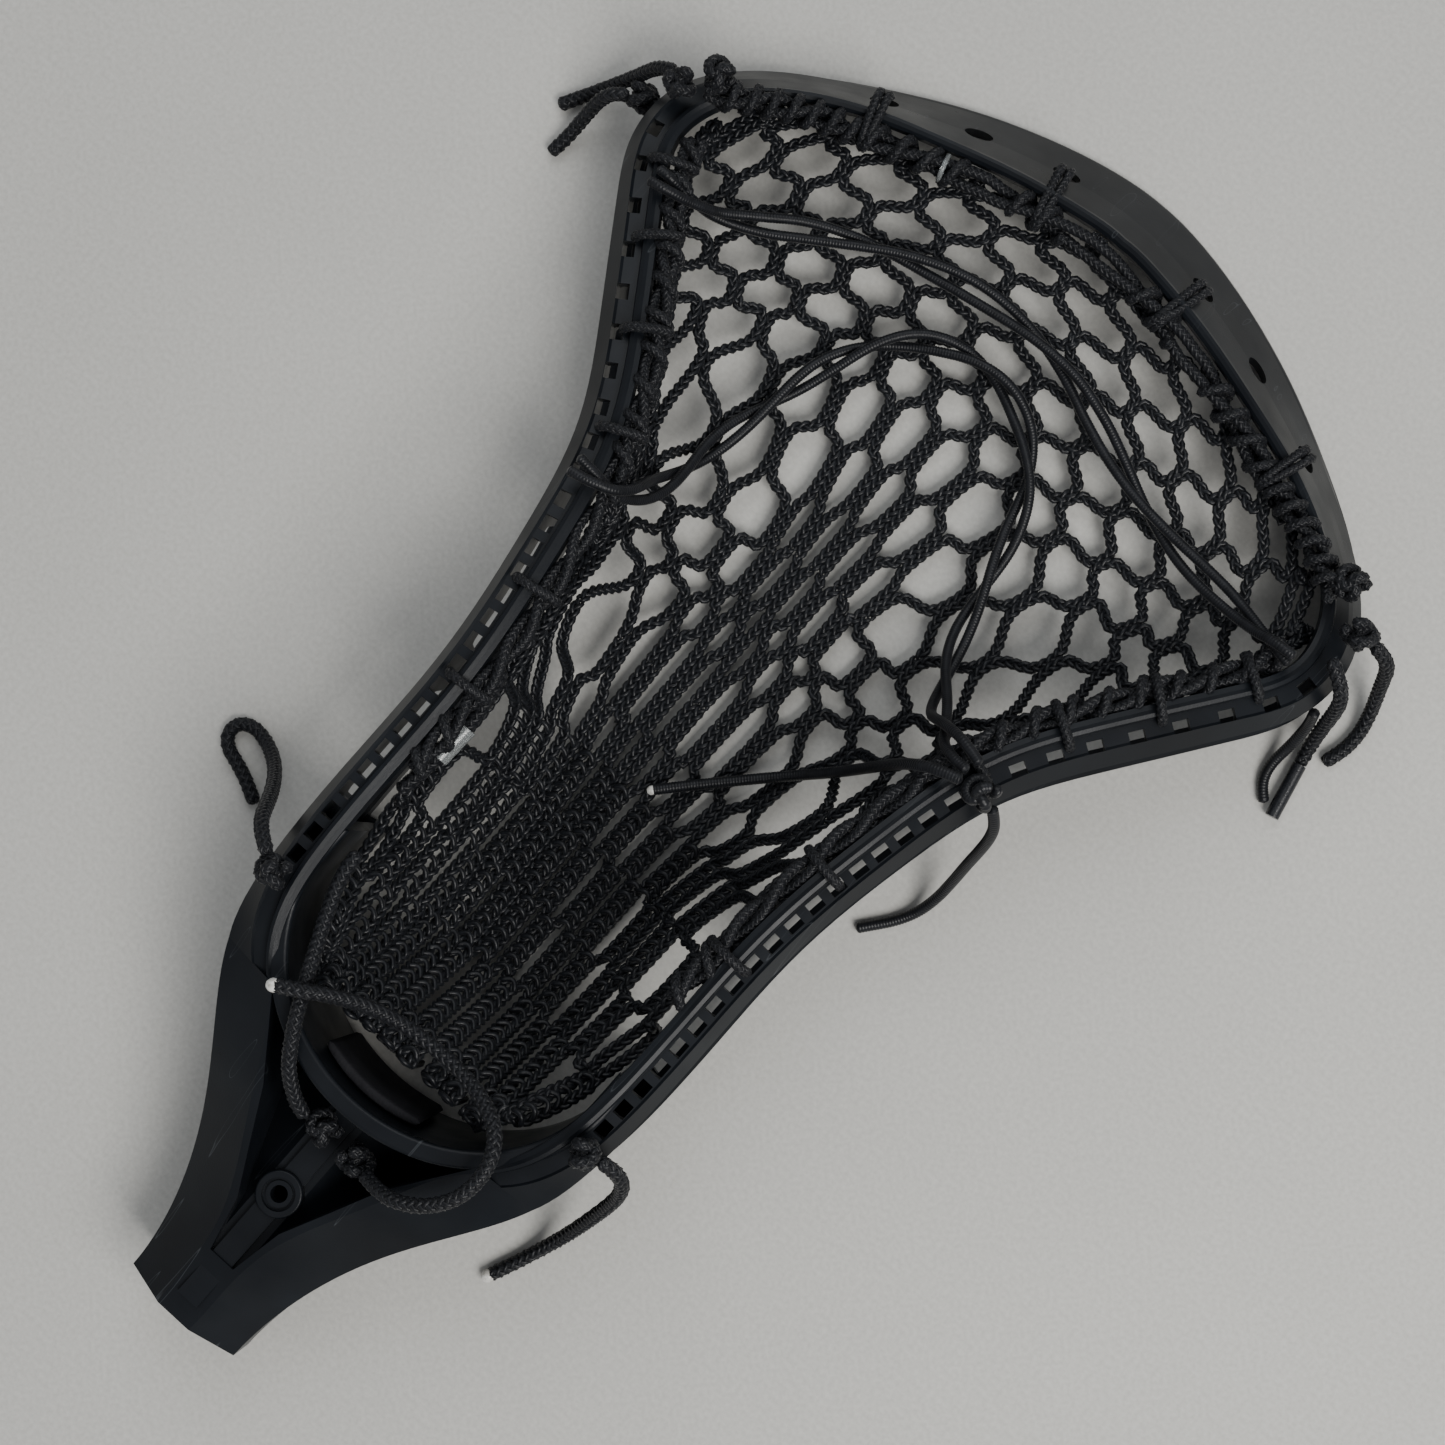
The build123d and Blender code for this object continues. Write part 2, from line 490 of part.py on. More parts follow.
# ---- write the pieces ---------------------------------------------------------------------------
KNOTS = {
    "top_left_knots": [(-89.3, 115.6, 28.2, 7), (-94.6, 108.4, 29, 6.6), (-102.6, 103.2, 13.4, 6.8)],
    "top_right_knots": [(85.4, 121, 27, 7), (93.6, 113.4, 28.4, 7.2)],
    "bottom_left_knot": [(-43.2, -73.8, 53.6, 6.6)],
    "bottom_right_knot": [(43.4, -74.2, 53.8, 6.4)],
    "shooting_knot": [(55.6, 34.6, 47.2, 8)],
    "ball_stop_knots": [(-1.6, -109.4, 37.4, 7), (8, -110, 37.6, 7.4)],
}


def main():
    pieces = moulding_pieces() | {
        "ball_stop_pad": ball_stop_pad(),
        "mesh_pocket": mesh_pocket(),
        "top_string": top_string(),
        "right_sidewall_string": rail_lace("right_sidewall_string", 1, RAIL_LACE_STATIONS, BRAID),
        "left_sidewall_string": rail_lace("left_sidewall_string", -1, RAIL_LACE_STATIONS, BRAID),
        "bottom_string": bottom_string(),
        "upper_shooting_string": upper_shooting_string(),
        "lower_shooting_string": lower_shooting_string(),
    }
    for name, (diameter, route) in FREE_LACES.items():
        pieces[name] = tube(name, route, diameter)
    pieces["lace_tip"] = lace_tip()
    pieces["label_sleeve"] = label_sleeve()
    pieces["clear_ring"] = clear_ring()
    for name, knots in KNOTS.items():
        pieces[name] = Compound([knot(*k) for k in knots])
    for name, shape in pieces.items():
        export_step(shape, f"parts/{name}.step")
        print(name, shape.is_valid, round(shape.volume), len(shape.solids()))


main()
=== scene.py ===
import math
import random

import bpy
import numpy as np
from mathutils import Matrix, Vector
from mathutils.bvhtree import BVHTree


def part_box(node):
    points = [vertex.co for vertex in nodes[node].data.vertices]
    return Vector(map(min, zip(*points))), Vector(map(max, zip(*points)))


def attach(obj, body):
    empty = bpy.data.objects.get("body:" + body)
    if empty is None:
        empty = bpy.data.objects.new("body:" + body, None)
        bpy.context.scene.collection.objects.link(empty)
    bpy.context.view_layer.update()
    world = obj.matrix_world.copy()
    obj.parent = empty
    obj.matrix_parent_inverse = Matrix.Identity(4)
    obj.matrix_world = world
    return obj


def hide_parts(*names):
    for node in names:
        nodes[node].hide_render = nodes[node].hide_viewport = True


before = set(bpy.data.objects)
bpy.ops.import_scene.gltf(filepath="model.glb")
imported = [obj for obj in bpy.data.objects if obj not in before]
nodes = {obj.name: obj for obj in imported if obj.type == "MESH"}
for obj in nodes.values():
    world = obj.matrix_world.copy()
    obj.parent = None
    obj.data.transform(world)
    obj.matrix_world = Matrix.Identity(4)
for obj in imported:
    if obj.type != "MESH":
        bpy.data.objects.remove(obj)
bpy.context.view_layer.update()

# A strung lacrosse head lying face down. Metres, in the CAD model's frame:
# +Y from the throat to the scoop, +X to the right seen from the back, +Z out of the back.
MM = 0.001
UP = np.array([0.0, 0.0, 1.0])

BRAID = 3.5 * MM           # laces
PULLED_BRAID = 2.6 * MM    # a lace drawn tight beside another
NYLON = 2.5 * MM           # shooting strings
SHOOTER_GAP = 3.8 * MM     # between the middles of a shooting string's two laces
CHAIN_WIDTH = 2.45 * MM    # one chain of the net
NET_MIDDLE = -4.2 * MM     # the net's middle column hangs a little left of the head's
NET_SINK = 1.5 * MM        # from the top of the net's CAD slab down to the middle of a chain


# ---- camera and light ---------------------------------------------------------------------------
def make_camera():
    """Nearly straight above the back, turned so that the scoop is at the upper right."""
    turn = math.radians(41.4)
    place = Vector((0.0492, 0.0103, 0.598))
    target = Vector((0.00215, 0.0103, 0))
    back = (place - target).normalized()
    up_hint = Vector((-math.sin(turn), math.cos(turn), 0))
    right = up_hint.cross(back).normalized()
    up = back.cross(right)
    data = bpy.data.cameras.new("camera")
    data.angle = 2 * math.atan(0.1625 / 0.6)
    data.clip_start = 0.01
    camera = bpy.data.objects.new("camera", data)
    camera.matrix_world = Matrix((
        (right.x, up.x, back.x, place.x),
        (right.y, up.y, back.y, place.y),
        (right.z, up.z, back.z, place.z),
        (0, 0, 0, 1)))
    bpy.context.scene.collection.objects.link(camera)
    bpy.context.scene.camera = camera


def area_light(name, place, target, size, power, colour):
    data = bpy.data.lights.new(name, "AREA")
    data.size = size
    data.energy = power
    data.color = colour
    lamp = bpy.data.objects.new(name, data)
    lamp.location = place
    lamp.rotation_euler = (Vector(target) - Vector(place)).to_track_quat("-Z", "Y").to_euler()
    bpy.context.scene.collection.objects.link(lamp)


def make_lights():
    """A soft key from the lower right of the picture, a weak fill and a pale room."""
    area_light("key", (0.68, -0.08, 0.95), (0.02, 0, 0), 0.6, 11.5, (1.0, 0.985, 0.96))
    area_light("fill", (-0.6, 0.9, 1.3), (0, 0, 0), 1.2, 7, (0.95, 0.98, 1.0))
    world = bpy.data.worlds.new("studio")
    world.use_nodes = True
    world.node_tree.nodes["Background"].inputs["Color"].default_value = (0.93, 0.95, 1.0, 1)
    world.node_tree.nodes["Background"].inputs["Strength"].default_value = 0.34
    bpy.context.scene.world = world


# ---- materials ----------------------------------------------------------------------------------
def new_material(name, colour, roughness):
    """A Principled material, its node tree and its shader."""
    material = bpy.data.materials.new(name)
    material.use_nodes = True
    shader = material.node_tree.nodes["Principled BSDF"]
    shader.inputs["Base Color"].default_value = (*colour, 1)
    shader.inputs["Roughness"].default_value = roughness
    return material, material.node_tree, shader


def add_noise(tree, scale, detail=4.0):
    """A noise texture in object space, so that it does not depend on UVs."""
    place = tree.nodes.new("ShaderNodeTexCoord")
    noise = tree.nodes.new("ShaderNodeTexNoise")
    noise.inputs["Scale"].default_value = scale
    noise.inputs["Detail"].default_value = detail
    tree.links.new(place.outputs["Object"], noise.inputs["Vector"])
    return noise


def add_ramp(tree, source, stops):
    ramp = tree.nodes.new("ShaderNodeValToRGB")
    while len(ramp.color_ramp.elements) < len(stops):
        ramp.color_ramp.elements.new(0.5)
    for element, (position, colour) in zip(ramp.color_ramp.elements, stops):
        element.position = position
        element.color = (*colour, 1)
    tree.links.new(source, ramp.inputs["Fac"])
    return ramp


def add_bump(tree, shader, height, strength, distance):
    bump = tree.nodes.new("ShaderNodeBump")
    bump.inputs["Strength"].default_value = strength
    bump.inputs["Distance"].default_value = distance
    tree.links.new(height, bump.inputs["Height"])
    tree.links.new(bump.outputs["Normal"], shader.inputs["Normal"])
    return bump


def grey(value):
    return (value, value, value)


def nylon_moulding():
    """Satin black nylon: fine moulded grain, dusty patches and hairline scratches."""
    material, tree, shader = new_material("moulded_nylon", (0.012, 0.014, 0.018), 0.42)
    patches = add_noise(tree, 38)
    colour = add_ramp(tree, patches.outputs["Fac"], [
        (0.3, (0.005, 0.006, 0.008)), (0.62, (0.009, 0.011, 0.014)), (0.85, (0.015, 0.018, 0.022))])
    smudges = add_noise(tree, 90, 6)
    gloss = add_ramp(tree, smudges.outputs["Fac"], [(0.25, grey(0.26)), (0.75, grey(0.44))])
    grain = add_noise(tree, 2600, 2)
    scratches = scratch_lines(tree)
    mixed = tree.nodes.new("ShaderNodeMix")
    mixed.data_type = "RGBA"
    tree.links.new(scratches.outputs["Color"], mixed.inputs["Factor"])
    tree.links.new(colour.outputs["Color"], mixed.inputs["A"])
    mixed.inputs["B"].default_value = (0.09, 0.1, 0.11, 1)
    tree.links.new(mixed.outputs["Result"], shader.inputs["Base Color"])
    tree.links.new(gloss.outputs["Color"], shader.inputs["Roughness"])
    add_bump(tree, shader, grain.outputs["Fac"], 0.16, 0.00012)
    shader.inputs["Specular IOR Level"].default_value = 0.22
    return material


def scratch_lines(tree):
    """Thin, sparse, gently bent light lines: the zero crossings of a stretched noise."""
    place = tree.nodes.new("ShaderNodeTexCoord")
    stretch = tree.nodes.new("ShaderNodeMapping")
    stretch.inputs["Rotation"].default_value = (0, 0, 0.9)
    stretch.inputs["Scale"].default_value = (260, 14, 60)
    noise = tree.nodes.new("ShaderNodeTexNoise")
    noise.inputs["Scale"].default_value = 1.0
    noise.inputs["Detail"].default_value = 1.0
    tree.links.new(place.outputs["Object"], stretch.inputs["Vector"])
    tree.links.new(stretch.outputs["Vector"], noise.inputs["Vector"])
    return add_ramp(tree, noise.outputs["Fac"],
                    [(0.0, grey(0)), (0.668, grey(0)), (0.672, grey(0.5)), (0.676, grey(0)), (1.0, grey(0))])


def cord_material(name, dark, light, roughness, scale):
    """Dyed cord: each fibre bundle a little lighter or darker, with a soft sheen."""
    material, tree, shader = new_material(name, dark, roughness)
    mottle = add_noise(tree, scale)
    colour = add_ramp(tree, mottle.outputs["Fac"], [(0.3, dark), (0.7, light)])
    tree.links.new(colour.outputs["Color"], shader.inputs["Base Color"])
    fibres = add_noise(tree, 5200, 2)
    add_bump(tree, shader, fibres.outputs["Fac"], 0.35, 0.0001)
    shader.inputs["Sheen Weight"].default_value = 0.06
    shader.inputs["Sheen Roughness"].default_value = 0.4
    shader.inputs["Specular IOR Level"].default_value = 0.3
    return material


def foam_material():
    material, tree, shader = new_material("stop_foam", (0.012, 0.012, 0.014), 0.8)
    cells = tree.nodes.new("ShaderNodeTexVoronoi")
    cells.inputs["Scale"].default_value = 1500
    place = tree.nodes.new("ShaderNodeTexCoord")
    tree.links.new(place.outputs["Object"], cells.inputs["Vector"])
    add_bump(tree, shader, cells.outputs["Distance"], 0.5, 0.0002)
    shader.inputs["Specular IOR Level"].default_value = 0.15
    tone = add_noise(tree, 120)
    colour = add_ramp(tree, tone.outputs["Fac"], [(0.3, (0.009, 0.009, 0.011)), (0.7, (0.02, 0.02, 0.023))])
    tree.links.new(colour.outputs["Color"], shader.inputs["Base Color"])
    return material


def melted_material():
    """The white melted end of a cut lace."""
    material, tree, shader = new_material("melted_end", (0.72, 0.7, 0.64), 0.35)
    tone = add_noise(tree, 900)
    colour = add_ramp(tree, tone.outputs["Fac"], [(0.35, (0.5, 0.48, 0.43)), (0.6, (0.85, 0.84, 0.8))])
    tree.links.new(colour.outputs["Color"], shader.inputs["Base Color"])
    return material


def clear_material():
    """Clear plastic with a light haze."""
    material, tree, shader = new_material("clear_plastic", (0.86, 0.9, 0.9), 0.12)
    shader.inputs["Transmission Weight"].default_value = 0.85
    shader.inputs["IOR"].default_value = 1.45
    haze = add_noise(tree, 700)
    gloss = add_ramp(tree, haze.outputs["Fac"], [(0.3, grey(0.08)), (0.7, grey(0.3))])
    tree.links.new(gloss.outputs["Color"], shader.inputs["Roughness"])
    return material


def tip_material():
    material, tree, shader = new_material("tip_plastic", (0.012, 0.013, 0.016), 0.25)
    wrinkles = add_noise(tree, 1400, 3)
    gloss = add_ramp(tree, wrinkles.outputs["Fac"], [(0.3, grey(0.18)), (0.7, grey(0.4))])
    tree.links.new(gloss.outputs["Color"], shader.inputs["Roughness"])
    add_bump(tree, shader, wrinkles.outputs["Fac"], 0.4, 0.0001)
    return material


def floor_material():
    """Pale warm grey board with a faint fibre grain and broad faint blotches."""
    material, tree, shader = new_material("floor", (0.6, 0.59, 0.55), 0.7)
    fibres = add_noise(tree, 900, 3)
    blotches = add_noise(tree, 9, 3)
    fine = add_ramp(tree, fibres.outputs["Fac"], [(0.3, (0.55, 0.543, 0.508)), (0.7, (0.64, 0.632, 0.594))])
    wide = add_ramp(tree, blotches.outputs["Fac"], [(0.3, grey(0.93)), (0.7, grey(1.0))])
    mixed = tree.nodes.new("ShaderNodeMix")
    mixed.data_type = "RGBA"
    mixed.blend_type = "MULTIPLY"
    mixed.inputs["Factor"].default_value = 1
    tree.links.new(fine.outputs["Color"], mixed.inputs["A"])
    tree.links.new(wide.outputs["Color"], mixed.inputs["B"])
    tree.links.new(mixed.outputs["Result"], shader.inputs["Base Color"])
    add_bump(tree, shader, fibres.outputs["Fac"], 0.12, 0.0003)
    return material


# ---- mesh helpers -------------------------------------------------------------------------------
def unit(vectors):
    return vectors / np.maximum(np.linalg.norm(vectors, axis=-1, keepdims=True), 1e-12)


def node_surface(name):
    """The surface of a CAD node, for rays."""
    mesh = nodes[name].data
    return BVHTree.FromPolygons([v.co for v in mesh.vertices], [p.vertices for p in mesh.polygons])


class Pile:
    """Points and quads gathered from many small shapes, made into one object at the end."""

    def __init__(self):
        self.points = []
        self.quads = []
        self.count = 0

    def add(self, points, quads):
        self.points.append(points)
        self.quads.append(quads + self.count)
        self.count += len(points)

    def make(self, name, material):
        points = np.concatenate(self.points)
        quads = np.concatenate(self.quads)
        mesh = bpy.data.meshes.new(name)
        mesh.vertices.add(len(points))
        mesh.vertices.foreach_set("co", points.ravel())
        mesh.loops.add(quads.size)
        mesh.loops.foreach_set("vertex_index", quads.ravel())
        mesh.polygons.add(len(quads))
        mesh.polygons.foreach_set("loop_start", np.arange(0, quads.size, 4))
        mesh.update(calc_edges=True)
        mesh.polygons.foreach_set("use_smooth", np.ones(len(quads), dtype=bool))
        mesh.materials.append(material)
        piece = bpy.data.objects.new(name, mesh)
        bpy.context.scene.collection.objects.link(piece)
        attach(piece, "root")
        return piece


def sweep(lines, outward, radius, sides=6):
    """Round strands. lines and outward are (strands, points, 3) arrays.

    radius is a number, or an array of (strands, points).
    """
    strands, length = lines.shape[:2]
    ahead = unit(np.gradient(lines, axis=1))
    across = unit(np.cross(ahead, outward))
    above = np.cross(across, ahead)
    radius = np.broadcast_to(np.asarray(radius, dtype=float), (strands, length))[:, :, None, None]
    angle = np.linspace(0, 2 * math.pi, sides, endpoint=False)[:, None]
    ring = np.cos(angle) * across[:, :, None, :] + np.sin(angle) * above[:, :, None, :]
    points = (lines[:, :, None, :] + radius * ring).reshape(-1, 3)
    index = np.arange(strands * length * sides).reshape(strands, length, sides)
    near, far = index[:, :-1], index[:, 1:]
    quads = np.stack([near, np.roll(near, -1, 2), np.roll(far, -1, 2), far], axis=-1).reshape(-1, 4)
    return points, quads


def rounded_ends(length, ends=2):
    """Radius factors along a strand that close its two ends."""
    factors = np.ones(length)
    for i in range(ends):
        factors[i] = factors[length - 1 - i] = math.sin(math.pi / 2 * (i + 0.12) / ends)
    return factors


def even_line(line, step):
    """The same line with points a step apart."""
    travel = np.concatenate([[0], np.cumsum(np.linalg.norm(np.diff(line, axis=0), axis=1))])
    count = max(int(round(travel[-1] / step)), 3)
    wanted = np.linspace(0, travel[-1], count + 1)
    return np.stack([np.interp(wanted, travel, line[:, k]) for k in range(3)], axis=1)


def travel_along(line):
    return np.concatenate([[0], np.cumsum(np.linalg.norm(np.diff(line, axis=0), axis=1))])


def smooth_line(points, step):
    """A centripetal curve through all the points, sampled a step apart."""
    points = np.asarray(points, dtype=float)
    padded = np.vstack([2 * points[0] - points[1], points, 2 * points[-1] - points[-2]])
    pieces = []
    for i in range(len(points) - 1):
        p0, p1, p2, p3 = padded[i:i + 4]
        t = np.linspace(0, 1, 12, endpoint=False)[:, None]
        pieces.append(0.5 * (2 * p1 + (p2 - p0) * t + (2 * p0 - 5 * p1 + 4 * p2 - p3) * t**2
                             + (3 * p1 - p0 - 3 * p2 + p3) * t**3))
    return even_line(np.vstack(pieces + [points[-1:]]), step)


def steady_frames(line):
    """Directions ahead, aside and above along a line, turned as little as possible."""
    ahead = unit(np.gradient(line, axis=0))
    above = np.empty_like(line)
    start = UP - ahead[0] * (ahead[0] @ UP)
    if np.linalg.norm(start) < 0.1:
        start = np.array([1.0, 0, 0]) - ahead[0] * ahead[0][0]
    above[0] = unit(start)
    for i in range(1, len(line)):
        above[i] = unit(above[i - 1] - ahead[i] * (above[i - 1] @ ahead[i]))
    return ahead, np.cross(ahead, above), above


def nurbs_line(points):
    """The smooth line of a lace: points along an open NURBS spline with the route as its control points."""
    data = bpy.data.curves.new("line", "CURVE")
    data.dimensions = "3D"
    data.resolution_u = 12
    spline = data.splines.new("NURBS")
    spline.points.add(len(points) - 1)
    for control, point in zip(spline.points, points):
        control.co = (*point, 1)
    spline.order_u = 3
    spline.use_endpoint_u = True
    holder = bpy.data.objects.new("line", data)
    mesh = bpy.data.meshes.new_from_object(holder)
    line = np.array([vertex.co for vertex in mesh.vertices])
    bpy.data.meshes.remove(mesh)
    bpy.data.objects.remove(holder)
    bpy.data.curves.remove(data)
    return line


# ---- cords --------------------------------------------------------------------------------------
def braid(pile, line, diameter, plies=4, lay=2.1, turn=0.0):
    """A round braid along a line: plies each way round, each passing over and under the others."""
    line = even_line(line, 0.55 * MM)
    _, aside, above = steady_frames(line)
    travel = travel_along(line)
    lay_length = lay * diameter
    ply_radius = 0.155 * diameter
    middle = 0.5 * diameter - ply_radius - 0.03 * diameter
    ends = rounded_ends(len(line))
    for way in (1, -1):
        angles = np.array([way * 2 * math.pi * travel / lay_length + 2 * math.pi * k / plies + turn
                           for k in range(plies)])
        reach = middle + way * 0.05 * diameter * np.cos(2 * math.pi * plies * travel / lay_length)
        outward = (np.cos(angles)[..., None] * aside + np.sin(angles)[..., None] * above)
        lines = line + (reach * (0.4 + 0.6 * ends))[:, None] * outward
        pile.add(*sweep(lines, outward, ply_radius * ends, 5))
    core = sweep(line[None], above[None], (0.36 * diameter * ends)[None], 8)
    pile.add(*core)


def nylon_strand(pile, line, diameter):
    """A smooth covered lace with fine ribs round it."""
    line = even_line(line, 0.17 * MM)
    _, _, above = steady_frames(line)
    travel = travel_along(line)
    ribs = 1 + 0.045 * np.cos(2 * math.pi * travel / (0.68 * MM))
    radius = diameter / 2 * ribs * rounded_ends(len(line), 4)
    pile.add(*sweep(line[None], above[None], radius[None], 10))


def twisted_pair(line, apart, lay, turn):
    """Two lines that wind round a middle line. apart is from one line to the other."""
    line = even_line(line, 0.8 * MM)
    _, aside, above = steady_frames(line)
    travel = travel_along(line)
    angle = 2 * math.pi * travel / lay + turn
    swing = 0.5 * apart * (np.cos(angle)[:, None] * aside + 0.75 * np.sin(angle)[:, None] * above)
    return line + swing, line - swing


def knot_line(centre, size, lace, lean):
    """A tight overhand knot: a trefoil that fills a ball of the given size."""
    turns = np.linspace(0.06, 2 * math.pi - 0.06, 60)
    tube = 0.2 * size
    ring = 0.5 * size - tube - 0.5 * lace
    x = (ring + tube * np.cos(3 * turns)) * np.cos(2 * turns)
    y = (ring + tube * np.cos(3 * turns)) * np.sin(2 * turns)
    z = 1.15 * tube * np.sin(3 * turns)
    tilt = np.array(Matrix.Rotation(lean, 3, "X") @ Matrix.Rotation(1.7 * lean, 3, "Z"))
    return np.stack([x, y, z], axis=1) @ tilt.T + np.array(centre)


# ---- the net ------------------------------------------------------------------------------------
# Each row of the net is a row of bars: two chains side by side. Between rows the chains part and
# join their neighbours, half a mesh to the side, so an even row has bars at even columns.
# A row is (Y on the middle line, length of its middle bars, length of its outer bars, droop at column 10).
ROWS = [
    (0.1425, 0.004, 0.004, 0.025),
    (0.1378, 0.0042, 0.004, 0.026),
    (0.1322, 0.005, 0.0055, 0.029),
    (0.1255, 0.005, 0.006, 0.030),
    (0.1192, 0.005, 0.006, 0.031),
    (0.1124, 0.0055, 0.006, 0.031),
    (0.1048, 0.0055, 0.0065, 0.030),
    (0.0976, 0.0065, 0.0065, 0.0285),
    (0.0857, 0.0108, 0.0065, 0.0275),
    (0.0716, 0.0115, 0.007, 0.0255),
    (0.0556, 0.0115, 0.007, 0.0205),
    (0.0420, 0.0115, 0.0065, 0.0110),
    (0.0326, 0.0042, 0.005, 0.0070),
    (0.0249, 0.0066, 0.0065, 0.0050),
    (0.0077, 0.0195, 0.0100, 0.0030),
    (-0.0078, 0.0095, 0.0085, 0.0010),
    (-0.0227, 0.0142, 0.0142, 0),
    (-0.0388, 0.0158, 0.0158, 0),
    (-0.0560, 0.0160, 0.0160, 0),
    (-0.0727, 0.0150, 0.0150, 0),
    (-0.0850, 0.0078, 0.0078, 0),
]
# How far columns 2, 4, 6, 8, 10 and 12 stand from the middle one, at a few rows.
COLUMNS = {
    0: (0.0190, 0.0380, 0.0555, 0.0700, 0.0815, 0.0880),
    2: (0.0195, 0.0380, 0.0550, 0.0700, 0.0815, 0.0880),
    4: (0.0192, 0.0360, 0.0515, 0.0655, 0.0765, 0.0840),
    6: (0.0155, 0.0300, 0.0445, 0.0575, 0.0675, 0.0730),
    8: (0.0108, 0.0236, 0.0375, 0.0505, 0.0590, 0.0640),
    10: (0.0070, 0.0144, 0.0285, 0.0425, 0.0505, 0.0540),
    12: (0.0070, 0.0144, 0.0265, 0.0385, 0.0455, 0.0490),
    14: (0.0070, 0.0145, 0.0230, 0.0345, 0.0410, 0.0440),
    16: (0.0058, 0.0116, 0.0175, 0.0234, 0.0292, 0.0410),
    18: (0.0057, 0.0114, 0.0171, 0.0228, 0.0285, 0.0400),
    20: (0.0055, 0.0110, 0.0163, 0.0212, 0.0255, 0.0290),
}
LAST_COLUMN = 12
PLAIT_LAY = 6.6 * MM       # one whole turn of a chain's three strands
PLAIT_SWING = 0.88 * MM
PLAIT_RISE = 0.42 * MM
PLAIT_STRAND = 0.58 * MM   # radius
ARCH_PITCH = 2.9 * MM
ARCH_WIDTH = 1.75 * CHAIN_WIDTH
ARCH_RISE = 0.9 * MM       # how far the arches stand above the chains' middle
ARCH_STRAND = 0.6 * MM     # radius
BAND_LAP = 0.6 * MM        # the net's pieces run this far past where they meet
BLOCK_START = 16           # the close-knitted rows next to the ball stop


class Net:
    """Where the net's chains run, on top of the CAD net and inside its edge."""

    def __init__(self):
        self.surface = node_surface("mesh_pocket")
        low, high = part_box("mesh_pocket")
        self.levels = np.linspace(low[1], high[1], 60)
        self.reach = [self.widest(y) for y in self.levels]

    def widest(self, y):
        """The net's half width at y."""
        span = 0.0
        for x in np.arange(0.0, 0.1, 0.0008):
            if self.surface.ray_cast(Vector((x, y, 0.2)), Vector((0, 0, -1)))[0]:
                span = x
        return span

    def half_width(self, y):
        return float(np.interp(y, self.levels, self.reach))

    def height(self, x, y):
        """The middle height of a chain at (x, y)."""
        hit = self.surface.ray_cast(Vector((x, y, 0.2)), Vector((0, 0, -1)))[0]
        if hit is None:
            inside = 0.97 * min(abs(x), self.half_width(y) - 1.5 * MM)
            hit = self.surface.ray_cast(Vector((math.copysign(inside, x), y, 0.2)), Vector((0, 0, -1)))[0]
        return (hit.z if hit else 0.02) - NET_SINK

    def column_offset(self, column, row):
        """Distance of a column from the middle one in a row."""
        low = 2 * (row // 2)
        high = min(low + 2, 20)
        share = (row - low) / 2
        near = np.interp(column, range(0, 14, 2), (0,) + COLUMNS[low])
        far = np.interp(column, range(0, 14, 2), (0,) + COLUMNS[high])
        return near + (far - near) * share

    def place(self, column, row):
        """(x, y) of a bar's middle. Columns run from -12 to 12."""
        y_middle, _, _, droop = ROWS[row]
        y = y_middle - droop * (abs(column) / 10) ** 1.75
        offset = math.copysign(self.column_offset(abs(column), row), column)
        x = NET_MIDDLE * (1 - abs(column) / LAST_COLUMN) + offset
        limit = self.half_width(y) - 0.6 * MM
        return min(max(x, -limit), limit), y

    def bar(self, column, row):
        """Two ends of a bar, upper first, as (x, y)."""
        x, y = self.place(column, row)
        above = self.place(column, max(row - 1, 0))
        below = self.place(column, min(row + 1, len(ROWS) - 1))
        lean = Vector((above[0] - below[0], above[1] - below[1])).normalized()
        _, middle, outer, _ = ROWS[row]
        share = min(max((abs(column) - 4) / 3, 0), 1)
        half = 0.5 * (middle + (outer - middle) * share) * dice_for(column, row, 0.88, 1.1)
        shift = dice_for(column + 40, row, -0.5, 0.5) * MM
        top = (x + lean.x * half + shift, y + lean.y * half)
        bottom = (x - lean.x * half + shift, y - lean.y * half)
        return top, bottom, lean


def dice_for(column, row, low, high):
    """A number that is always the same for this bar."""
    return random.Random(1000 * row + column).uniform(low, high)


def chain_line(net, gap):
    """The line of the chain that wanders between columns gap and gap + 1."""
    points = []
    for row in range(len(ROWS)):
        on_left = (gap + row) % 2 == 0
        column = gap if on_left else gap + 1
        if abs(column) > LAST_COLUMN:
            column = int(math.copysign(LAST_COLUMN, column))
        top, bottom, lean = net.bar(column, row)
        aside = 0.5 * CHAIN_WIDTH * (1 if on_left else -1)
        if row >= BLOCK_START:
            aside *= 1.12
        right = Vector((lean.y, -lean.x))
        for end in (top, bottom):
            points.append((end[0] + right.x * aside, end[1] + right.y * aside))
    return points


def lift(net, line):
    """The flat line with its heights on the net."""
    return np.array([(x, y, net.height(x, y)) for x, y in line])


def surface_frames(line):
    """Directions ahead, aside and above for a line that lies on the net."""
    ahead = unit(np.gradient(line, axis=0))
    aside = unit(np.cross(ahead, UP))
    return ahead, aside, np.cross(aside, ahead)


def curve_through(start, bend, end, count):
    t = np.linspace(0, 1, count)[:, None]
    return (1 - t)**2 * np.array(start) + 2 * t * (1 - t) * np.array(bend) + t**2 * np.array(end)


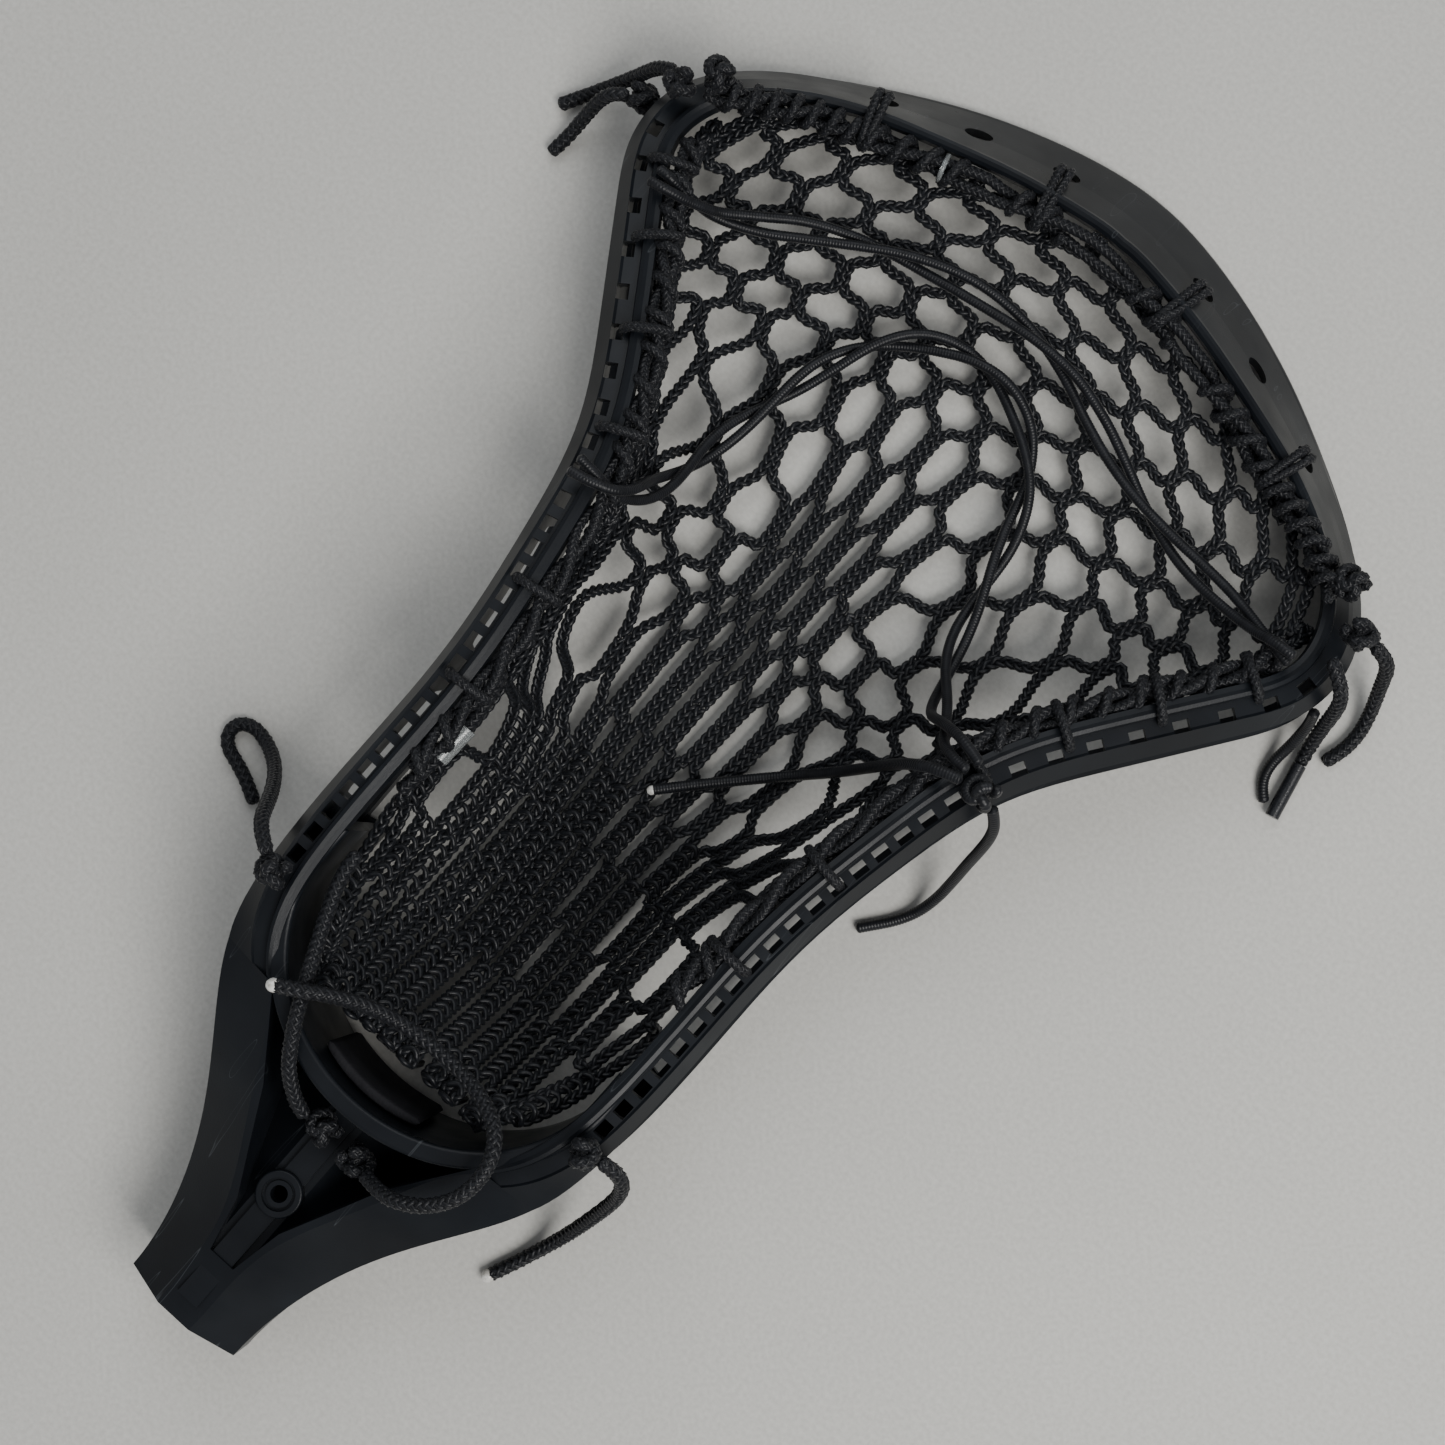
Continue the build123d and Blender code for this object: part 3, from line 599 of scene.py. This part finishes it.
def place_shapes(pile, shape, outward, centres, frames, radius, sides=6):
    """Copies of one small strand, given in (aside, ahead, above), along a line."""
    ahead, aside, above = frames
    lines = (centres[:, None, :] + shape[None, :, 0:1] * aside[:, None, :]
             + shape[None, :, 1:2] * ahead[:, None, :] + shape[None, :, 2:3] * above[:, None, :])
    away = (outward[None, :, 0:1] * aside[:, None, :] + outward[None, :, 1:2] * ahead[:, None, :]
            + outward[None, :, 2:3] * above[:, None, :])
    ends = rounded_ends(len(shape), 1)
    pile.add(*sweep(lines, np.broadcast_to(away, lines.shape), radius * ends, sides))


def plaited_chain(pile, line, start):
    """One chain: a flat plait of three strands. start is how far along the chain this part begins."""
    line = even_line(line, 0.75 * MM)
    _, aside, above = surface_frames(line)
    travel = travel_along(line) + start
    lines = []
    for strand in range(3):
        turn = 2 * math.pi * (travel / PLAIT_LAY + strand / 3)
        swing = PLAIT_SWING * np.cos(turn)[:, None] * aside
        lines.append(line + swing + PLAIT_RISE * np.sin(2 * turn)[:, None] * above)
    pile.add(*sweep(np.array(lines), np.array([above] * 3), PLAIT_STRAND * rounded_ends(len(line)), 6))


def rib_arches(pile, line, width):
    """Loops across a close-knitted rib: a stack of arches with dark holes below them."""
    line = even_line(line, ARCH_PITCH)
    frames = surface_frames(line)
    arch = curve_through((-0.5 * width, -0.9 * MM, -0.3 * MM), (0, 2.5 * MM, 1.9 * MM),
                         (0.5 * width, -0.9 * MM, -0.3 * MM), 13)
    place_shapes(pile, arch, np.tile([0.0, 0.0, 1.0], (13, 1)), line, frames, ARCH_STRAND)


def make_net(cord):
    """The net in five pieces, one above the other, so that none has too many faces."""
    net = Net()
    chains = []
    for gap in range(-LAST_COLUMN - 1, LAST_COLUMN + 1):
        flat = smooth_line([(x, y, 0) for x, y in chain_line(net, gap)], 1.0 * MM)
        chains.append(lift(net, flat[:, :2]))
    bands = [(0.09, 0.2), (0.05, 0.09), (0.01, 0.05), (-0.03, 0.01), (-0.2, -0.03)]
    pieces = []
    for low, high in bands:
        pile = Pile()
        for chain in chains:
            for part, start in parts_between(chain, low, high):
                plaited_chain(pile, part, start)
        if low < -0.1:
            for row in range(BLOCK_START, len(ROWS)):
                add_block_row(pile, net, row)
        pieces.append(pile.make(f"net_{len(pieces) + 1}", cord))
    return pieces


def parts_between(line, low, high):
    """The stretches of a line with their Y between low and high, each with its distance along the line."""
    travel = travel_along(line)
    inside = (line[:, 1] >= low - BAND_LAP) & (line[:, 1] < high + BAND_LAP)
    parts = []
    start = None
    for i, flag in enumerate(list(inside) + [False]):
        if flag and start is None:
            start = i
        if not flag and start is not None:
            if i - start > 3:
                parts.append((line[start:i + 1], travel[start]))
            start = None
    return parts


def add_block_row(pile, net, row):
    """The ribs of one close-knitted row, one on each bar."""
    for column in range(-LAST_COLUMN + 1, LAST_COLUMN):
        if (column + row) % 2:
            continue
        top, bottom, _ = net.bar(column, row)
        line = lift(net, even_line(np.array([(*bottom, 0), (*top, 0)]), 0.8 * MM)[:, :2])
        line[:, 2] += ARCH_RISE
        rib_arches(pile, line, ARCH_WIDTH)


# ---- laces that the head holds ------------------------------------------------------------------
def centreline(node, axis, count, step=1.0 * MM):
    """The middle line of a CAD lace that runs along one axis: 0 for X, 1 for Y."""
    places = np.array([v.co for v in nodes[node].data.vertices])
    low, high = places[:, axis].min(), places[:, axis].max()
    edges = np.linspace(low, high, count + 1)
    points = []
    for start, end in zip(edges, edges[1:]):
        inside = places[(places[:, axis] >= start) & (places[:, axis] <= end)]
        if len(inside):
            points.append(inside.mean(axis=0))
    return smooth_line(points, step)


def outward_along(line):
    """Level directions square to a line, pointing away from the middle of the head."""
    ahead, _, _ = steady_frames(line)
    aside = unit(np.cross(ahead, UP))
    away = line - np.array([0, 0.02, 0])
    signs = np.sign((aside * away).sum(axis=1))
    return aside * signs[:, None]


def loop_over_lip(pile, line, share, shape, diameter):
    """A lace loop from the string over the rail's ridge into a hole. shape is (outward, up) points."""
    i = int(share * (len(line) - 1))
    outward = outward_along(line)[i]
    points = [line[i] + out * MM * outward + rise * MM * UP for out, rise in shape]
    braid(pile, smooth_line(points, 0.5 * MM), diameter)


# (outward, up) from the string's middle, in millimetres.
RAIL_LOOP = [(-2.4, -1.6), (-2.3, 1.2), (0.4, 3.6), (4.0, 4.1), (6.6, 2.6), (7.6, -1.6)]
# (X, Y) of the holes in the scoop's lip that take a lace; the others stay empty.
LACED_HOLES = [(-0.0608, 0.1378), (-0.02, 0.1516), (0.02, 0.1516), (0.0608, 0.1378)]
HOLE_TO_EDGE = 3.4 * MM    # from the middle of such a hole in to the edge of the lip
SCOOP_LACE = 2.2 * MM      # the lace through it, drawn tight
WOUND_LACE = 2.4 * MM      # a lace drawn tight round a string


def loop_through_hole(pile, line, hole, spread):
    """A lace from the top string up over the scoop's lip and down through a hole."""
    x, y = hole
    nearest = line[np.argmin(np.hypot(line[:, 0] - x, line[:, 1] - y))]
    surface = node_surface("scoop")
    toward = unit(np.array([x - nearest[0], y - nearest[1], 0.0]))
    aside = np.array([-toward[1], toward[0], 0.0]) * spread
    mouth = np.array([x, y, 0.0]) + aside
    edge = mouth - HOLE_TO_EDGE * toward
    height = 0.0
    for start in (edge, edge - 1.2 * MM * toward, mouth - 2.6 * MM * toward, mouth + 2.6 * MM * toward):
        hit = surface.ray_cast(Vector((start[0], start[1], 0.2)), Vector((0, 0, -1)))[0]
        height = max(height, hit.z if hit else 0.0)
    over = height + 1.1 * MM
    points = [nearest - 1.5 * MM * toward - 2.5 * MM * UP, nearest - 2.6 * MM * toward + aside * 0.3,
              nearest + aside * 0.6 + 2.6 * MM * UP, edge + over * UP, mouth - 1.8 * MM * toward + over * UP,
              mouth - 0.4 * MM * toward + (over - 1.6 * MM) * UP, mouth + (over - 4.5 * MM) * UP]
    braid(pile, smooth_line(points, 0.5 * MM), SCOOP_LACE)


def wrap_round(pile, line, radius, pitch, diameter, start, end):
    """A lace wound round a string between two shares of its length."""
    part = line[int(start * (len(line) - 1)):int(end * (len(line) - 1)) + 1]
    part = even_line(part, 0.6 * MM)
    _, aside, above = steady_frames(part)
    angle = 2 * math.pi * travel_along(part) / pitch
    swing = radius * (np.cos(angle)[:, None] * aside + np.sin(angle)[:, None] * above)
    braid(pile, part + swing, diameter)


def make_sidewall_string(name, node, loops, wraps, cord):
    """A sidewall's two laces, their loops over the rail and the lace wound round them."""
    pile = Pile()
    line = centreline(node, 1, 22)
    for strand in twisted_pair(line, 3.0 * MM, 26 * MM, 0.6):
        braid(pile, strand, PULLED_BRAID)
    for share in loops:
        loop_over_lip(pile, line, share, RAIL_LOOP, WOUND_LACE)
    for start, end, pitch in wraps:
        wrap_round(pile, line, 2.5 * MM, pitch * MM, WOUND_LACE, start, end)
    piece = pile.make(name, cord)
    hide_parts(node)


# Centre, size and lean of each knot.
KNOTS = {
    "top_left_knots": [(-0.0893, 0.1156, 0.0282, 0.0091, 0.3), (-0.0946, 0.1084, 0.029, 0.0089, 1.2),
                       (-0.1026, 0.1032, 0.0134, 0.0089, 2.1)],
    "top_right_knots": [(0.0854, 0.121, 0.027, 0.0091, 0.5), (0.0936, 0.1134, 0.0284, 0.0093, 1.6)],
    "bottom_left_knot": [(-0.0432, -0.0738, 0.0536, 0.0089, 0.8)],
    "bottom_right_knot": [(0.0434, -0.0742, 0.0538, 0.0087, 1.9)],
    "ball_stop_knots": [(-0.0016, -0.1094, 0.0374, 0.0091, 0.4), (0.008, -0.11, 0.0376, 0.0095, 1.4)],
}
SHOOTING_KNOT = (0.0556, 0.0346, 0.0472, 0.0088, 0.7)
KNOT_BRAID = 2.9 * MM
CORNER_INSET = np.array([0, 5, 1]) * MM    # from a corner's knot in to where its lacing ends


def corner_lacing(pile, start, knot):
    """The doubled lace, and its windings, that tie a corner of the net down by a knot."""
    outward = unit(np.array([knot[0] + start[0], 0.35 * abs(knot[0]), 0.0]))
    points = [start, start + 0.33 * (knot - start) + 2.5 * MM * outward,
              start + 0.67 * (knot - start) + 2.0 * MM * outward, knot]
    line = smooth_line(points, 0.6 * MM)
    for strand in twisted_pair(line, 3.2 * MM, 22 * MM, 0.5):
        braid(pile, strand, PULLED_BRAID)
    wrap_round(pile, line, 2.9 * MM, 4.6 * MM, 2.3 * MM, 0.08, 0.95)


def make_top_string(cord):
    """The laces along the scoop, those through its holes, and the lacing of the net's two corners."""
    pile = Pile()
    line = centreline("top_string", 0, 24)
    for strand in twisted_pair(line, 3.6 * MM, 60 * MM, 0.2):
        braid(pile, strand, 2.8 * MM)
    for hole in LACED_HOLES:
        for spread in (-1.1 * MM, 1.1 * MM):
            loop_through_hole(pile, line, hole, spread)
    for start, end in ((0.0, 0.2), (0.3, 0.42), (0.58, 0.7), (0.8, 1.0)):
        wrap_round(pile, line, 3.0 * MM, 6.5 * MM, WOUND_LACE, start, end)
    piece = pile.make("top_string_braid", cord)
    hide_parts("top_string")
    for side, start in (("left", line[0]), ("right", line[-1])):
        corner = Pile()
        corner_lacing(corner, start, np.array(KNOTS[f"top_{side}_knots"][0][:3]) - CORNER_INSET)
        piece = corner.make(f"top_{side}_corner_lacing", cord)
        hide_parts("top_string")


BOTTOM_STRING = [
    (-0.0334, -0.06, 0.0468), (-0.0326, -0.0664, 0.0469), (-0.03, -0.0734, 0.0473),
    (-0.0266, -0.0806, 0.0485), (-0.023, -0.0874, 0.0505), (-0.019, -0.0948, 0.0516),
    (-0.0146, -0.1022, 0.0494), (-0.01, -0.1074, 0.0438), (-0.006, -0.1098, 0.04),
]
UPPER_SHOOTER = [
    (-0.085, 0.0892, 0.032), (-0.0805, 0.0898, 0.0318), (-0.0756, 0.0912, 0.0264), (-0.0704, 0.0936, 0.02),
    (-0.0626, 0.0986, 0.0166), (-0.054, 0.1046, 0.015), (-0.0436, 0.1102, 0.014), (-0.0326, 0.1146, 0.0136),
    (-0.0186, 0.1182, 0.0136), (-0.004, 0.1194, 0.0136), (0.0094, 0.1178, 0.0136), (0.0204, 0.1142, 0.0136),
    (0.0314, 0.11, 0.0136), (0.042, 0.1064, 0.014), (0.0546, 0.1036, 0.0156), (0.0688, 0.1018, 0.02),
    (0.077, 0.1004, 0.025), (0.0824, 0.0996, 0.03), (0.0865, 0.0994, 0.031),
]
LOWER_SHOOTER = [
    (-0.0535, 0.0304, 0.0482), (-0.0484, 0.0308, 0.0476), (-0.0439, 0.0318, 0.0452), (-0.041, 0.0346, 0.038),
    (-0.0396, 0.0404, 0.027), (-0.039, 0.051, 0.016), (-0.0376, 0.062, 0.012), (-0.035, 0.074, 0.0102),
    (-0.032, 0.0856, 0.0098), (-0.0274, 0.095, 0.0098), (-0.0206, 0.1024, 0.0098), (-0.012, 0.1068, 0.0098),
    (-0.0034, 0.1078, 0.0098), (0.005, 0.1058, 0.0098), (0.013, 0.101, 0.0098), (0.0194, 0.0934, 0.0098),
    (0.0236, 0.083, 0.0098), (0.0266, 0.0716, 0.0102), (0.0296, 0.06, 0.012), (0.0334, 0.0496, 0.0176),
    (0.0376, 0.0426, 0.0276), (0.0414, 0.0396, 0.0386), (0.0454, 0.0384, 0.0454), (0.051, 0.0374, 0.0486),
]


def make_bottom_string(cord):
    """The lace from the left sidewall round to the back of the ball stop."""
    pile = Pile()
    braid(pile, smooth_line(BOTTOM_STRING, 0.5 * MM), BRAID)
    piece = pile.make("bottom_string_braid", cord)
    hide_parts("bottom_string")


def make_shooter(name, node, points, lay, nylon):
    """Two smooth laces that wind round each other through the net."""
    pile = Pile()
    line = smooth_line(points, 0.5 * MM)
    for strand in twisted_pair(line, SHOOTER_GAP, lay * MM, 0.4):
        nylon_strand(pile, strand, NYLON * 0.92)
    piece = pile.make(name, nylon)
    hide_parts(node)
    return piece


# ---- knots --------------------------------------------------------------------------------------
def make_knots(cord, nylon):
    """The knots that stop the laces, as pieces by the name of their CAD node."""
    made = {}
    for node, knots in KNOTS.items():
        pile = Pile()
        for x, y, z, size, lean in knots:
            braid(pile, smooth_line(knot_line((x, y, z), size, KNOT_BRAID, lean), 0.4 * MM), KNOT_BRAID)
        made[node] = pile.make(node + "_braid", cord)
        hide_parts(node)
    pile = Pile()
    x, y, z, size, lean = SHOOTING_KNOT
    nylon_strand(pile, smooth_line(knot_line((x, y, z), size, NYLON, lean), 0.4 * MM), NYLON)
    made["shooting_knot"] = pile.make("shooting_knot_tied", nylon)
    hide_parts("shooting_knot")
    return made


# ---- free laces ---------------------------------------------------------------------------------
FREE_LACES = {
    "top_left_outer_tail": [
        (-0.0974, 0.11, 0.0268), (-0.101, 0.1096, 0.0234), (-0.1039, 0.1082, 0.0184),
        (-0.1066, 0.1062, 0.0132), (-0.1094, 0.1038, 0.0088), (-0.1122, 0.101, 0.0052),
        (-0.1148, 0.0978, 0.0028), (-0.117, 0.0946, 0.0019), (-0.1189, 0.0912, 0.0019),
    ],
    "top_left_inner_tail": [
        (-0.1046, 0.1012, 0.0156), (-0.1076, 0.0997, 0.0148), (-0.1098, 0.0973, 0.0118),
        (-0.111, 0.0942, 0.0078), (-0.1118, 0.0906, 0.0044), (-0.1124, 0.0862, 0.0022),
        (-0.113, 0.0817, 0.0019),
    ],
    "top_right_loop_tail": [
        (0.0972, 0.1136, 0.0282), (0.101, 0.1136, 0.026), (0.1036, 0.1128, 0.0206),
        (0.105, 0.1116, 0.014), (0.1066, 0.1096, 0.0084), (0.1084, 0.1066, 0.0042),
        (0.1098, 0.1024, 0.002), (0.11, 0.098, 0.0019), (0.1092, 0.0942, 0.0019),
        (0.1082, 0.0912, 0.0019),
    ],
    "top_right_tip_tail": [
        (0.0924, 0.105, 0.0312), (0.097, 0.1026, 0.0306), (0.0999, 0.1006, 0.0266),
        (0.1012, 0.0988, 0.02), (0.102, 0.0968, 0.0124), (0.1029, 0.094, 0.0062),
        (0.1038, 0.0909, 0.0023), (0.1046, 0.0874, 0.0023),
    ],
    "top_right_shooting_tail": [
        (0.0982, 0.0964, 0.017), (0.0994, 0.0946, 0.0124), (0.0999, 0.0918, 0.008),
        (0.1, 0.088, 0.0044), (0.0998, 0.0842, 0.0021), (0.1004, 0.0806, 0.0014),
        (0.1022, 0.0778, 0.0014), (0.1044, 0.076, 0.0014),
    ],
    "shooting_outer_tail": [
        (0.0592, 0.0338, 0.045), (0.062, 0.032, 0.0416), (0.0633, 0.0292, 0.036),
        (0.0636, 0.0258, 0.0288), (0.0637, 0.022, 0.0204), (0.064, 0.0174, 0.0122),
        (0.064, 0.0122, 0.0058), (0.0629, 0.007, 0.0022), (0.0604, 0.0024, 0.0014),
        (0.0576, -0.0012, 0.0014), (0.0549, -0.0046, 0.0014),
    ],
    "shooting_inner_tail": [
        (0.051, 0.0338, 0.0498), (0.046, 0.0324, 0.049), (0.0414, 0.0302, 0.0446),
        (0.038, 0.0276, 0.0364), (0.0346, 0.0242, 0.0252), (0.0294, 0.0186, 0.0154),
        (0.022, 0.0114, 0.0092), (0.013, 0.002, 0.0072), (0.0046, -0.007, 0.0069),
        (0.0008, -0.0114, 0.0069),
    ],
    "bottom_right_tail": [
        (0.0464, -0.0732, 0.0543), (0.0504, -0.0728, 0.0524), (0.0532, -0.0744, 0.0474),
        (0.0544, -0.0778, 0.0396), (0.0542, -0.0826, 0.0304), (0.0534, -0.0882, 0.021),
        (0.0524, -0.094, 0.0126), (0.051, -0.0998, 0.0062), (0.0492, -0.1054, 0.0026),
        (0.047, -0.1112, 0.0019), (0.0446, -0.1168, 0.0019),
    ],
    "bottom_left_tail": [
        (-0.0462, -0.072, 0.0544), (-0.0502, -0.07, 0.0528), (-0.0534, -0.0682, 0.0478),
        (-0.0558, -0.0666, 0.04), (-0.0586, -0.0652, 0.0304), (-0.062, -0.0638, 0.0204),
        (-0.0658, -0.0626, 0.0114), (-0.0698, -0.0616, 0.005), (-0.0734, -0.0608, 0.0023),
        (-0.0768, -0.0604, 0.0019), (-0.08, -0.0618, 0.0019), (-0.0808, -0.0652, 0.0019),
        (-0.0784, -0.068, 0.0019), (-0.074, -0.0692, 0.0019), (-0.0694, -0.071, 0.0019),
        (-0.0652, -0.0734, 0.0019),
    ],
    "bottom_string_tail": [
        (0.0116, -0.1102, 0.0414), (0.0162, -0.1098, 0.0464), (0.0214, -0.108, 0.05),
        (0.0268, -0.1038, 0.0522), (0.0306, -0.0972, 0.0546), (0.0308, -0.0894, 0.0544),
        (0.0272, -0.0834, 0.052), (0.0206, -0.0808, 0.0484), (0.0132, -0.08, 0.0452),
        (0.005, -0.0802, 0.0438), (-0.0034, -0.0809, 0.0442), (-0.0108, -0.0825, 0.048),
        (-0.0166, -0.0848, 0.0524), (-0.022, -0.0878, 0.055), (-0.0274, -0.0912, 0.054),
    ],
    "left_sidewall_tail": [
        (-0.0366, -0.0116, 0.0428), (-0.0349, -0.0176, 0.0426), (-0.0342, -0.0244, 0.0424),
        (-0.0347, -0.036, 0.0422), (-0.0363, -0.0456, 0.042),
    ],
}
NYLON_TAILS = ("top_right_shooting_tail", "shooting_outer_tail", "shooting_inner_tail")
MELTED_TAILS = ("bottom_right_tail", "bottom_string_tail", "shooting_inner_tail")


def make_free_lace(name, cord, nylon):
    """One free lace and its line."""
    line = nurbs_line(FREE_LACES[name])
    pile = Pile()
    if name in NYLON_TAILS:
        nylon_strand(pile, line, NYLON)
    else:
        braid(pile, line, BRAID)
    piece = pile.make(name + "_lace", nylon if name in NYLON_TAILS else cord)
    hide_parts(name)
    return piece, line


def make_melted_end(name, line, diameter, melted):
    """A small blob of melted fibre on the end of a lace."""
    end, before = line[-1], line[-4]
    ahead = unit(end - before)
    steps = np.linspace(-0.45, 0.4, 7)
    blob = end + steps[:, None] * diameter * ahead
    radius = 0.44 * diameter * np.sqrt(np.maximum(1 - (steps / 0.47) ** 2, 0.02))
    pile = Pile()
    pile.add(*sweep(blob[None], np.tile(UP, (7, 1))[None], radius[None], 14))
    piece = pile.make(name + "_end", melted)
    return piece


def make_free_laces(cord, nylon, melted):
    """The free laces, with a melted end on some of them."""
    for name in FREE_LACES:
        piece, line = make_free_lace(name, cord, nylon)
        diameter = NYLON if name in NYLON_TAILS else BRAID
        if name in MELTED_TAILS:
            make_melted_end(name, line, diameter, melted)


# ---- pad, sleeve, ring and tip ------------------------------------------------------------------
PAD_HALF_ANGLE = math.radians(21)
PAD_CENTRE_Y = -0.066          # of the ball stop's ellipse, whose inner radii are PAD_RADII
PAD_RADII = (0.038 - 1.75 * MM, 0.033 - 1.75 * MM)
PAD_HALF_THICKNESS = 1.45 * MM
PAD_SQUARENESS = 0.35          # exponent of the rounded section: smaller is squarer


def squared(wave):
    """A cosine or sine pushed towards plus or minus one."""
    return math.copysign(abs(wave) ** PAD_SQUARENESS, wave)


def make_pad(foam):
    """The foam pad inside the ball stop: a bowed strip with rounded edges."""
    low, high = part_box("ball_stop_pad")
    tall = 0.5 * (high[2] - low[2])
    middle_z = 0.5 * (high[2] + low[2])
    angles = np.linspace(math.radians(-90) - PAD_HALF_ANGLE, math.radians(-90) + PAD_HALF_ANGLE, 36)
    around = np.linspace(0, 2 * math.pi, 40, endpoint=False)
    points = []
    for i, angle in enumerate(angles):
        edge = math.sin(math.pi * i / (len(angles) - 1)) ** 0.12 if 0 < i < len(angles) - 1 else 0.0
        for turn in around:
            depth = squared(math.cos(turn)) * PAD_HALF_THICKNESS * max(edge, 0.05)
            rise = squared(math.sin(turn)) * tall * (0.97 + 0.03 * edge)
            points.append(((PAD_RADII[0] + depth) * math.cos(angle),
                           PAD_CENTRE_Y + (PAD_RADII[1] + depth) * math.sin(angle), middle_z + rise))
    points = np.array(points)
    index = np.arange(len(points)).reshape(len(angles), len(around))
    near, far = index[:-1], index[1:]
    quads = np.stack([near, np.roll(near, -1, 1), np.roll(far, -1, 1), far], axis=-1).reshape(-1, 4)
    pile = Pile()
    pile.add(points, quads)
    piece = pile.make("ball_stop_foam", foam)
    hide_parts("ball_stop_pad")


def dress_cad_node(name, material):
    """A better material for a CAD node that shows."""
    piece = nodes[name]
    piece.data.materials.clear()
    piece.data.materials.append(material)


def make_floor():
    """The board that the head lies on."""
    half = 2.0
    mesh = bpy.data.meshes.new("floor")
    corners = [(-half, -half, 0), (half, -half, 0), (half, half, 0), (-half, half, 0)]
    mesh.from_pydata(corners, [], [(0, 1, 2, 3)])
    mesh.materials.append(floor_material())
    floor = bpy.data.objects.new("floor", mesh)
    bpy.context.scene.collection.objects.link(floor)


make_camera()
cord = cord_material("lace_braid", (0.0045, 0.005, 0.0065), (0.012, 0.013, 0.016), 0.4, 900)
nylon = cord_material("shooting_lace", (0.006, 0.0065, 0.008), (0.012, 0.013, 0.016), 0.34, 500)
net_cord = cord_material("net_cord", (0.004, 0.0045, 0.006), (0.011, 0.0125, 0.0155), 0.34, 700)
melted = melted_material()
knots = make_knots(cord, nylon)
make_free_laces(cord, nylon, melted)
net_pieces = make_net(net_cord)
for net_piece in net_pieces:
    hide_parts("mesh_pocket")
make_top_string(cord)
make_sidewall_string("right_string_braid", "right_sidewall_string", (0.1, 0.27, 0.52, 0.66, 0.8, 0.93),
                     [(0.0, 0.12, 9), (0.5, 1.0, 8)], cord)
make_sidewall_string("left_string_braid", "left_sidewall_string", (0.14, 0.3, 0.55, 0.7, 0.84, 0.95),
                     [(0.0, 0.1, 9), (0.45, 1.0, 8)], cord)
make_bottom_string(cord)
make_shooter("upper_shooting_laces", "upper_shooting_string", UPPER_SHOOTER, 84, nylon)
make_shooter("lower_shooting_laces", "lower_shooting_string", LOWER_SHOOTER, 52, nylon)
make_pad(foam_material())
moulded = nylon_moulding()
for name in ("screw_boss", "ball_stop", "throat", "right_sidewall", "left_sidewall", "scoop"):
    dress_cad_node(name, moulded)
dress_cad_node("lace_tip", tip_material())
dress_cad_node("label_sleeve", clear_material())
dress_cad_node("clear_ring", clear_material())
make_floor()
make_lights()
